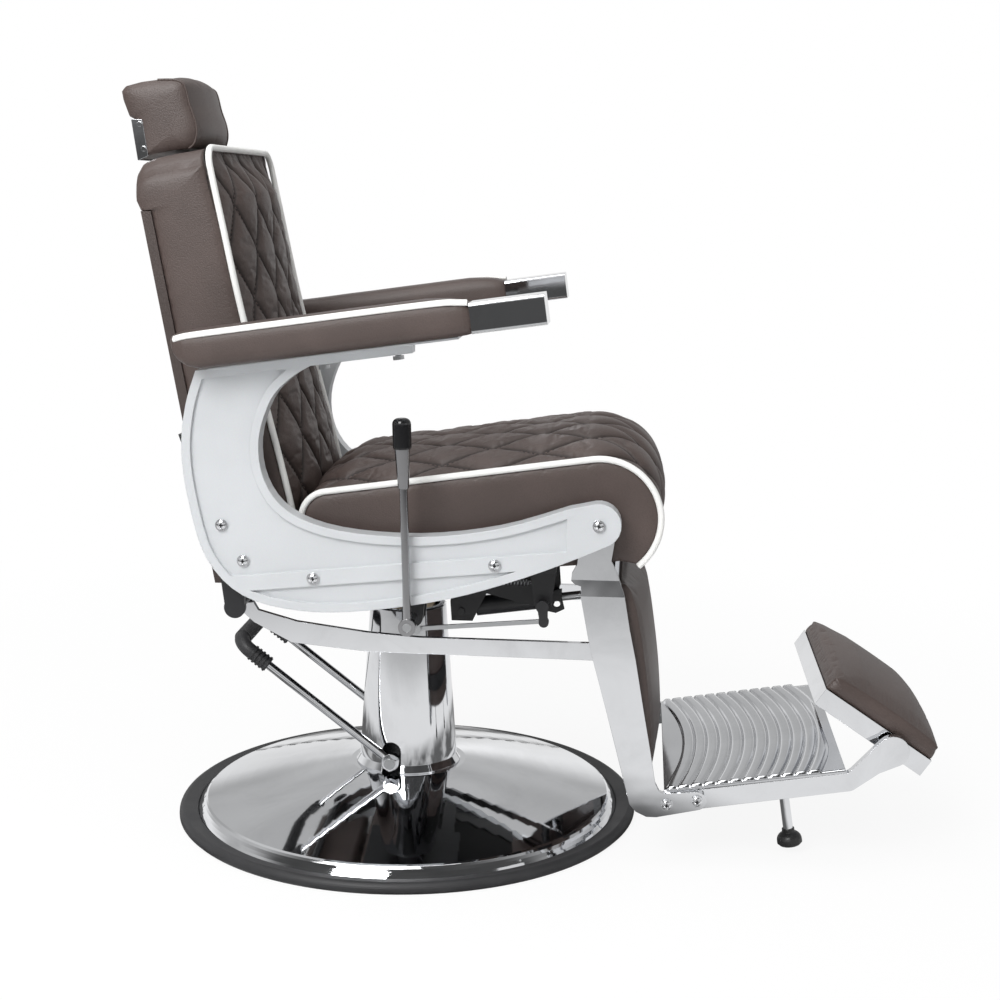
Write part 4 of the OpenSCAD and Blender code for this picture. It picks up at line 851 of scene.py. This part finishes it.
class CHAIR_OT_leg_pads(bpy.types.Operator):
    """Calf pad and the flip-over footrest pad"""

    bl_idname = "chair.leg_pads"
    bl_label = "Leg pads"

    def execute(self, context):
        u = shop()[0]
        hide = leather("pad_leatherette", u.hide)
        low, high = np.array([356.0, 112.0]), np.array([319.0, 402.0])
        face = smooth_line([high + [3, 2], [332, 401], [341, 384], [351, 340], [359, 290], [366, 235],
                            [370, 180], [371, 135], [366, 113]])

        def calf(k):
            return Cushion(face, [low, high], CALF_WIDE, 13, (0.2, 0.2), ([334, 360], [358, 150]),
                           count=60 * k, around=60 * k, side_rows=6 * k, bulge=2)

        cover = upholster("calf_cover", hide, calf, cap=0.002, slack=0.004)
        dress(cover, "footrest", "upholstery", "calf_pad", fill=0.7)

        a, b, h = -124.5, 56.5, 16.5
        turn = np.radians(FLIP_ANGLE)
        spin = np.array([[np.cos(turn), np.sin(turn)], [-np.sin(turn), np.cos(turn)]])

        def place(p):
            return FLIP_PIVOT + np.asarray(p, float) @ spin

        pad = smooth_line(place([[a + 1, h + 2], [a + 3, h + 14], [a + 12, h + 23], [(a + b) / 2, h + 26],
                                 [b - 12, h + 23], [b - 3, h + 14], [b - 1, h + 2]]))
        rear = place([[b - 2, h + 0.05], [b - 4, h], [a + 4, h], [a + 2, h + 0.05]])

        def flip(k):
            return Cushion(pad, rear, FLIP_WIDE, 16, (0.3, 0.3), place([[a + 20, h + 12], [b - 20, h + 12]]),
                           count=56 * k, around=60 * k, side_rows=6 * k, bulge=2)

        cover = upholster("flip_cover", hide, flip, cap=0.002, slack=0.004)
        dress(cover, "flip_pad", "upholstery", "flip_cushion", fill=0.7)
        return {"FINISHED"}


def arm_place(points):
    """From a pad's own frame (across, rearwards, up) to the chair's, with its rear end turned down."""
    p = np.asarray(points, float)
    a = math.radians(ARM_RISE)
    y = p[..., 1] * math.cos(a) + p[..., 2] * math.sin(a) - ARM_FRONT[0]
    z = -p[..., 1] * math.sin(a) + p[..., 2] * math.cos(a) + ARM_FRONT[1]
    return np.stack([p[..., 0], y, z], -1) / 1000.0


class CHAIR_OT_arms(bpy.types.Operator):
    """Arm pads with their welts"""

    bl_idname = "chair.arms"
    bl_label = "Arm pads"

    def execute(self, context):
        u = shop()[0]
        hide = leather("arm_leatherette", u.hide)
        mid, ring = 284.0, 72
        y = np.array([0, 3, 8, 16, 30, 50, 120, 200, 280, 330, 361, 378, 388, 393, 395.0])
        low = np.array([2.5, 1.5, 0.8, 0.3, 0, 0, 0, 0, 0, 0, 0, 5.5, 14, 22, 29.0])
        high = np.array([41, 42.5, 44, 46, 47.6, 48, 48, 48, 48, 48, 48, 47.5, 46, 44.5, 43.0])
        half = np.array([30, 32, 33.8, 35, 35.8, 36, 36, 36, 36, 36, 36, 34.6, 31.5, 28.5, 25.0])
        fine = np.linspace(0, 1, 140)
        t = np.linspace(0, 1, len(y))
        ys, lo, hi, hw = (np.interp(fine, t, v) for v in (y, low, high, half))
        a = np.linspace(0, 2 * np.pi, ring, endpoint=False)
        c, s = np.cos(a), np.sin(a)
        px = mid + hw[:, None] * np.sign(c) * np.abs(c) ** 0.5
        pz = (hi + lo)[:, None] / 2 + (hi - lo)[:, None] / 2 * np.sign(s) * np.abs(s) ** 0.5
        crown = 5.0 * np.clip(s, 0, 1)[None] * np.clip(ys / 60, 0, 1)[:, None]
        pad = np.stack([px, np.broadcast_to(ys[:, None], px.shape), pz + crown], -1)
        pad[..., 2] += ripple(pad, 0.03, 9) * 0.5
        points = np.concatenate([np.repeat(pad[:1].mean(1, keepdims=True), ring, 1), pad,
                                 np.repeat(pad[-1:].mean(1, keepdims=True) + [0, 1.0, 0], ring, 1)])
        welts = []
        for sign, tag in ((1, "left"), (-1, "right")):
            cover = make_grid("arm_cover_" + tag, arm_place(points) * [sign, 1, 1], material=hide, merge=1e-5)
            dress(cover, "seat", "upholstery", "arm_pad_" + tag, fill=0.85)
            x, z = mid + 36 * 0.85 + 1.6, 24 + 24 * 0.85 + 2.4
            path = [[mid + 28, 1, 43], [x - 2.4, 14, z - 2.2], [x, 34, z], [x, 100, z + 0.6],
                    [x, 200, z + 0.6], [x, 300, z + 0.3], [x, 355, z], [x - 1, 375, z - 0.6],
                    [x - 4, 389, z - 2.5]]
            path, _ = evenly(smooth_line(path), 200)
            welts.append(sweep("arm_welt", arm_place(path) * [sign, 1, 1], 0.0052, material("welt"),
                               (sign * 0.6, 0, 0.8), 14, flat=0.62))
        dress(join("arm_welt", welts), "seat", "piping", "arm_piping")
        return {"FINISHED"}


def box(name, low, high, material):
    """A plain box between two corners in millimetres of the footplate's own frame, set in its place."""
    ends = np.array([low, high], float)
    c = np.array([[ends[i, 0], ends[j, 1], ends[k, 2]] for i in (0, 1) for j in (0, 1) for k in (0, 1)])
    faces = np.array([[0, 1, 3, 2], [4, 6, 7, 5], [0, 4, 5, 1], [2, 3, 7, 6], [0, 2, 6, 4], [1, 5, 7, 3]])
    return make_object(name, plate_place(c), faces, material=material, smooth=False)


def plate_place(p):
    """From the footplate's frame (across, forwards, square to its top) to the chair's, in metres."""
    a = math.radians(PLATE_SLOPE)
    forward = PLATE_AT[0] + p[..., 1] * math.cos(a) - p[..., 2] * math.sin(a)
    height = PLATE_AT[1] + p[..., 1] * math.sin(a) + p[..., 2] * math.cos(a)
    return np.stack([p[..., 0], -forward, height], -1) / 1000


class CHAIR_OT_footplate(bpy.types.Operator):
    """Pressed footplate with twelve curved ribs and its skirts"""

    bl_idname = "chair.footplate"
    bl_label = "Footplate"

    def execute(self, context):
        half, length, thick, tall, pitch, bow, ribs = 208.0, 253.0, 5.0, 4.2, 218 / 12, 700.0, 12
        x = np.concatenate([[-half], np.linspace(-half, half, 61), [half]])[:, None]
        v = np.linspace(0, length, 420)[None]
        q = v + bow - np.sqrt(bow * bow - x * x) - 40 + pitch / 2
        part = np.mod(q / pitch, 1)
        hump = (1 - np.abs(2 * part - 1) ** 5) * (q > 0) * (q < ribs * pitch)
        shore = np.clip(np.minimum(v - 2, length - 12 - v) / 6, 0, 1)
        top = np.stack([x + 0 * v, v + 0 * x, tall * hump * shore], -1)
        low = top[:, ::-1].copy()
        low[..., 2] = -thick
        loop = np.concatenate([top, low], 1)
        loop[[0, -1], :, 2] = -thick / 2
        tin = material("plate")
        plate = make_grid("footplate", plate_place(loop), material=tin, merge=1e-6)
        parts = [plate, box("lip", (-196, length - 5, -17), (196, length, -5), tin)]
        for a, b in ((-196, -191), (191, 196)):
            parts.append(box("skirt", (a, 20, -19), (b, length - 10, -5), tin))
        dress(join("ribbed_plate", parts), "footrest", "chrome", "footplate")
        return {"FINISHED"}


# Body, forward, height and distance from the middle of each pair of button heads.
BOLTS = [("seat", -219, 487, 266.4), ("seat", 293, 499, 271.4), ("seat", -93, 417, 271.4),
         ("seat", 154, 442, 271.4), ("seat", -190, 438, 266.4), ("footrest", 436, 101, 220.4),
         ("footrest", 394, 94, 220.4)]


class CHAIR_OT_bolts(bpy.types.Operator):
    """Domes with a driver recess over the button bolts of the frames and legs"""

    bl_idname = "chair.bolts"
    bl_label = "Bolt heads"

    def execute(self, context):
        rings, sides = 17, 48
        r = np.linspace(0, BOLT_RADIUS, rings)[:, None]
        a = np.linspace(0, 2 * np.pi, sides, endpoint=False)[None]
        y, z = r * np.cos(a), r * np.sin(a)
        arm = np.minimum(np.abs(y), np.abs(z))
        pit = np.clip((1.15 - arm) / 0.45, 0, 1) * np.clip((3.9 - r) / 0.5, 0, 1)
        rise = 1.9 * (1 - (r / BOLT_RADIUS) ** 2) - 1.5 * pit
        heads = {}
        for body, u, height, out in BOLTS:
            for sign in (-1, 1):
                p = np.stack([sign * (out + rise), -u + y * sign, height + z], -1) / 1000
                # the recess mask goes in as the attribute "sewn", which the bolt finish paints near black as
                # painted shade
                dome = make_grid("bolt_dome", p, sewn=pit, material=material("bolt"), merge=1e-6)
                heads.setdefault(body, []).append(dome)
        for body, domes in heads.items():
            dress(join(body + "_bolt_domes", domes), body, "chrome")
        return {"FINISHED"}


class CHAIR_OT_spring(bpy.types.Operator):
    """Latch spring with its hooked ends"""

    bl_idname = "chair.spring"
    bl_label = "Latch spring"

    def execute(self, context):
        x, z, u0, u1, curls, radius = -146.5, 392.0, 122.0, 198.0, 16, 4.4
        t = np.linspace(0, 1, curls * 28)
        turn = 2 * np.pi * curls * t
        ramp = np.clip(np.minimum(12 * t, 12 * (1 - t)), 0, 1)
        r = radius * ramp
        coil = np.stack([x + r * np.sin(turn), -(u0 + (u1 - u0) * t), z + r * np.cos(turn)], 1)
        path = np.vstack([[[x, -u0 + 1.6, z]], coil, [[x, -u1 - 1.6, z]]]) / 1000
        o = sweep("spring_wire", path, 0.0009, material("steel"), (0.02, 1, 0.01), 10)
        dress(o, "seat", "steel", "latch_spring")
        return {"FINISHED"}


FINISHES = {}


def material(key):
    """The shared finish of that name, made once."""
    u, m, _ = shop()
    makers = {
        "welt": lambda: welt_cloth("welt_white", tuple(u.welt)),
        "chrome": lambda: chrome("bright_chrome"),
        "dish": lambda: chrome("dish_chrome", haze=0.035),
        "casting": lambda: silver_paint("silver_casting", tuple(m.casting)),
        # painted shade: a darker, hazier copy of the bright chrome, so the lever reads dark as if it mirrored
        # a dark room
        "lever": lambda: chrome("lever_chrome_painted_dark", (0.42, 0.42, 0.43), haze=0.07),
        "enamel": lambda: painted("black_enamel", tuple(m.enamel)),
        "steel": lambda: turned_steel("turned_steel"),
        "bronze": lambda: turned_steel("gland_bronze", (0.6, 0.42, 0.2), 0.3),
        "rubber": lambda: rubber("black_rubber"),
        "iron": lambda: cast_metal("cast_iron"),
        "dust": lambda: dust_cloth("dust_cloth"),
        "plate": lambda: chrome("foot_plate_chrome", (0.66, 0.67, 0.69), haze=0.13),
        "bolt": lambda: bolt_chrome("bolt_chrome"),
        "panel": lambda: leather("panel_leatherette", [c * 0.7 for c in u.hide]),
        "gloss": lambda: moulded("gloss_black", (0.012, 0.012, 0.013), 0.12),
        "foot": lambda: moulded("foot_black", (0.02, 0.02, 0.02), 0.4),
    }
    if key not in FINISHES:
        FINISHES[key] = makers[key]()
    return FINISHES[key]


HARD = {
    "rubber": ["base_ring", "pedal_grip"],
    "dish": ["base_dish"],
    "chrome": ["column_cover", "ram", "pedal_lever", "pedal_nuts", "arm_cap_left", "arm_cap_right",
               "headrest_plate", "headrest_post", "leg_left", "leg_right", "foot_arms", "leg_bolts",
               "frame_bolts", "flip_tray", "link_bars", "support_rods"],
    "lever": ["recline_lever"],
    "iron": ["base_plate", "pump_body"],
    "steel": ["base_bolts", "pump_cylinder", "pump_plunger", "pedal_shaft", "pedal_cam", "thrust_bearing",
              "arm_screws", "release_rod", "lever_shaft", "lock_rod"],
    "bronze": ["gland_nut"],
    "enamel": ["seat_hub", "seat_subframe", "lock_bracket", "latch_plate", "lever_bearing", "lock_cylinder",
               "back_ears", "post_sleeve", "leg_crosstube"],
    "gloss": ["lever_knob"],
    "foot": ["support_feet"],
    "dust": ["seat_board"],
    "panel": ["back_board"],
    "casting": ["side_frame_left", "side_frame_right", "arm_plates"],
}


class CHAIR_OT_hard_finishes(bpy.types.Operator):
    """Plating, paint, rubber and dust cloth on the rigid pieces"""

    bl_idname = "chair.hard_finishes"
    bl_label = "Hard finishes"

    def execute(self, context):
        for key, names in HARD.items():
            for n in names:
                for slot in NODES[n].material_slots:
                    slot.material = material(key)
        return {"FINISHED"}


# ================================================================ studio

# Name, place, point it looks at, side in metres, watts, and whether shiny surfaces mirror it.
LAMPS = [
    ("top_lamp", (-0.6, 0.4, 3.2), (0, 0, 0.5), (2.2, 2.2), 40, True),
    ("near_lamp", (-2.7, 1.0, 2.5), (0, 0.1, 0.7), (1.6, 1.6), 84, True),
    ("front_lamp", (-1.6, -3.2, 1.6), (0, -0.1, 0.6), (1.2, 1.6), 4, True),
    ("far_lamp", (2.4, 1.0, 2.2), (0, 0, 0.6), (1.6, 1.6), 12, False),
]


def room():
    """World light: white to the camera, even grey to soft rays, and to glossy rays a room whose far wall
    is palest at the floor and darker towards the front, and whose near wall, behind the camera, is pale
    only in a band over the horizon."""
    world = bpy.data.worlds.new("studio")
    bpy.context.scene.world = world
    world.use_nodes = True
    net = Network(world.node_tree, "Generated")
    x, y, z = net.split(net.spot)
    streak = net.add("ShaderNodeTexNoise", None, {"Vector": net.spot, "Scale": 2.2}).band(0.35, 0.65)
    away = 0.95 - z.band(0.1, 0.3) * 0.45 + z.band(0.45, 0.7) * 0.1
    away = away * (1.0 - (-y).band(0.15, 0.6) * 0.35)
    near = z.band(0.02, 0.12) * 0.6 - z.band(0.38, 0.55) * 0.6 + 0.07
    side = x.band(-0.25, 0.2)
    glossy = net.ray("Is Glossy Ray")
    level = (away * side + near * (1.0 - side)) * (streak * 0.3 + 0.85) * glossy + (1.0 - glossy) * 0.38
    tone = net.add("ShaderNodeCombineColor", None, {0: level, 1: level, 2: level})
    white = net.add("ShaderNodeBackground", None, {"Color": (1, 1, 1)})
    light = net.add("ShaderNodeBackground", None, {"Color": tone})
    both = net.add("ShaderNodeMixShader", None, {0: net.ray("Is Camera Ray"), 1: light, 2: white})
    net.add("ShaderNodeOutputWorld", None, {0: both})


def pale_floor(tint):
    """A disc that is nearly white to the camera, and darker to glossy rays far off and beside the base."""
    f = Finish("floor_paint")
    f.set(Base_Color=tint, Roughness=0.9, Specular_IOR_Level=0.1)
    x, y, _ = f.split(f.spot)
    far = (x * x + y * y).power(0.5)
    mirrored = f.ray("Is Glossy Ray")
    patch = f.noise(4.0, 3.0).band(0.42, 0.6)
    beside = (1.0 - far.band(0.55, 0.72)) * (0.85 - patch * 0.5)
    level = (0.86 - far.band(1.1, 1.9) * 0.3 - far.band(1.9, 4.5) * 0.5) * (1.0 - beside)
    tone = f.mix(mirrored, (1, 1, 1), f.mix(level, (0, 0, 0), (1, 1, 1)))
    glow = f.add("ShaderNodeEmission", None, {"Color": tone})
    share = f.ray("Is Camera Ray") * (far.band(0.7, 2.0) * 0.1 + 0.9) + mirrored
    paint = Wire(f.tree, f.shader.outputs[0])
    feed(f.tree, f.out.inputs["Surface"], f.add("ShaderNodeMixShader", None, {0: share, 1: paint, 2: glow}))
    sides = 96
    k = np.arange(sides)
    a = 2 * np.pi * k / sides
    points = np.vstack([FLOOR_RADIUS * np.stack([np.cos(a), np.sin(a), 0 * a], 1), [[0, 0, 0]]])
    faces = np.stack([np.full(sides, sides), k, (k + 1) % sides], 1)
    make_object("floor", points, faces, material=f.material, smooth=False)


def lamp(name, place, aim, sides, power, mirrored):
    """A soft rectangular lamp of so many watts, turned to aim."""
    data = bpy.data.lights.new(name, "AREA")
    data.shape = "RECTANGLE"
    data.size, data.size_y = sides
    data.energy = power
    obj = bpy.data.objects.new(name, data)
    bpy.context.scene.collection.objects.link(obj)
    turn = (Vector(aim) - Vector(place)).to_track_quat("-Z", "Y")
    obj.matrix_world = Matrix.Translation(place) @ turn.to_matrix().to_4x4()
    obj.visible_glossy = mirrored


def set_camera():
    """The camera, turned a little down and rolled, and plain colours."""
    yaw, pitch, roll = CAMERA_YAW, CAMERA_PITCH, CAMERA_ROLL
    ahead = Vector((math.cos(yaw) * math.cos(pitch), math.sin(yaw) * math.cos(pitch), -math.sin(pitch)))
    right = ahead.cross(Vector((0, 0, 1))).normalized()
    up = right.cross(ahead)
    side = right * math.cos(roll) + up * math.sin(roll)
    over = up * math.cos(roll) - right * math.sin(roll)
    data = bpy.data.cameras.new("camera")
    data.sensor_width, data.lens, data.clip_end = 36.0, CAMERA_LENS, 60.0
    cam = bpy.data.objects.new("camera", data)
    scene = bpy.context.scene
    scene.collection.objects.link(cam)
    cam.matrix_world = Matrix.Translation(CAMERA_AT) @ Matrix((side, over, -ahead)).transposed().to_4x4()
    scene.camera = cam
    scene.view_settings.view_transform = "Standard"


class CHAIR_OT_stage(bpy.types.Operator):
    """Pale floor, soft lamps, a plain room and the camera"""

    bl_idname = "chair.stage"
    bl_label = "Stage"

    def execute(self, context):
        studio = shop()[2]
        room()
        pale_floor(tuple(studio.floor))
        for name, place, aim, sides, power, mirrored in LAMPS:
            lamp(name, place, aim, sides, power * studio.lamp, mirrored)
        set_camera()
        return {"FINISHED"}


OPERATORS = [CHAIR_OT_stage, CHAIR_OT_hard_finishes, CHAIR_OT_seat, CHAIR_OT_back, CHAIR_OT_headrest,
             CHAIR_OT_leg_pads, CHAIR_OT_arms, CHAIR_OT_footplate, CHAIR_OT_bolts, CHAIR_OT_spring]


class CHAIR_PT_panel(bpy.types.Panel):
    """Sizes, colours and steps of the barber chair"""

    bl_idname = "CHAIR_PT_panel"
    bl_label = "Barber chair"
    bl_space_type = "VIEW_3D"
    bl_region_type = "UI"
    bl_category = "Barber chair"

    def draw(self, context):
        for group in shop():
            box = self.layout.box()
            for key in group.__annotations__:
                box.prop(group, key)
        for operator in OPERATORS:
            self.layout.operator(operator.bl_idname)


GROUPS = {"chair_upholstery": ChairUpholstery, "chair_metal": ChairMetal, "chair_studio": ChairStudio}


def register():
    for cls in list(GROUPS.values()) + OPERATORS + [CHAIR_PT_panel]:
        bpy.utils.register_class(cls)
    for name, cls in GROUPS.items():
        setattr(bpy.types.Scene, name, bpy.props.PointerProperty(type=cls))


def unregister():
    for name in GROUPS:
        delattr(bpy.types.Scene, name)
    for cls in [CHAIR_PT_panel] + OPERATORS[::-1] + list(GROUPS.values()):
        bpy.utils.unregister_class(cls)


def main():
    register()
    for operator in OPERATORS:
        getattr(bpy.ops.chair, operator.bl_idname.split(".")[1])()


if __name__ == "__main__":
    main()
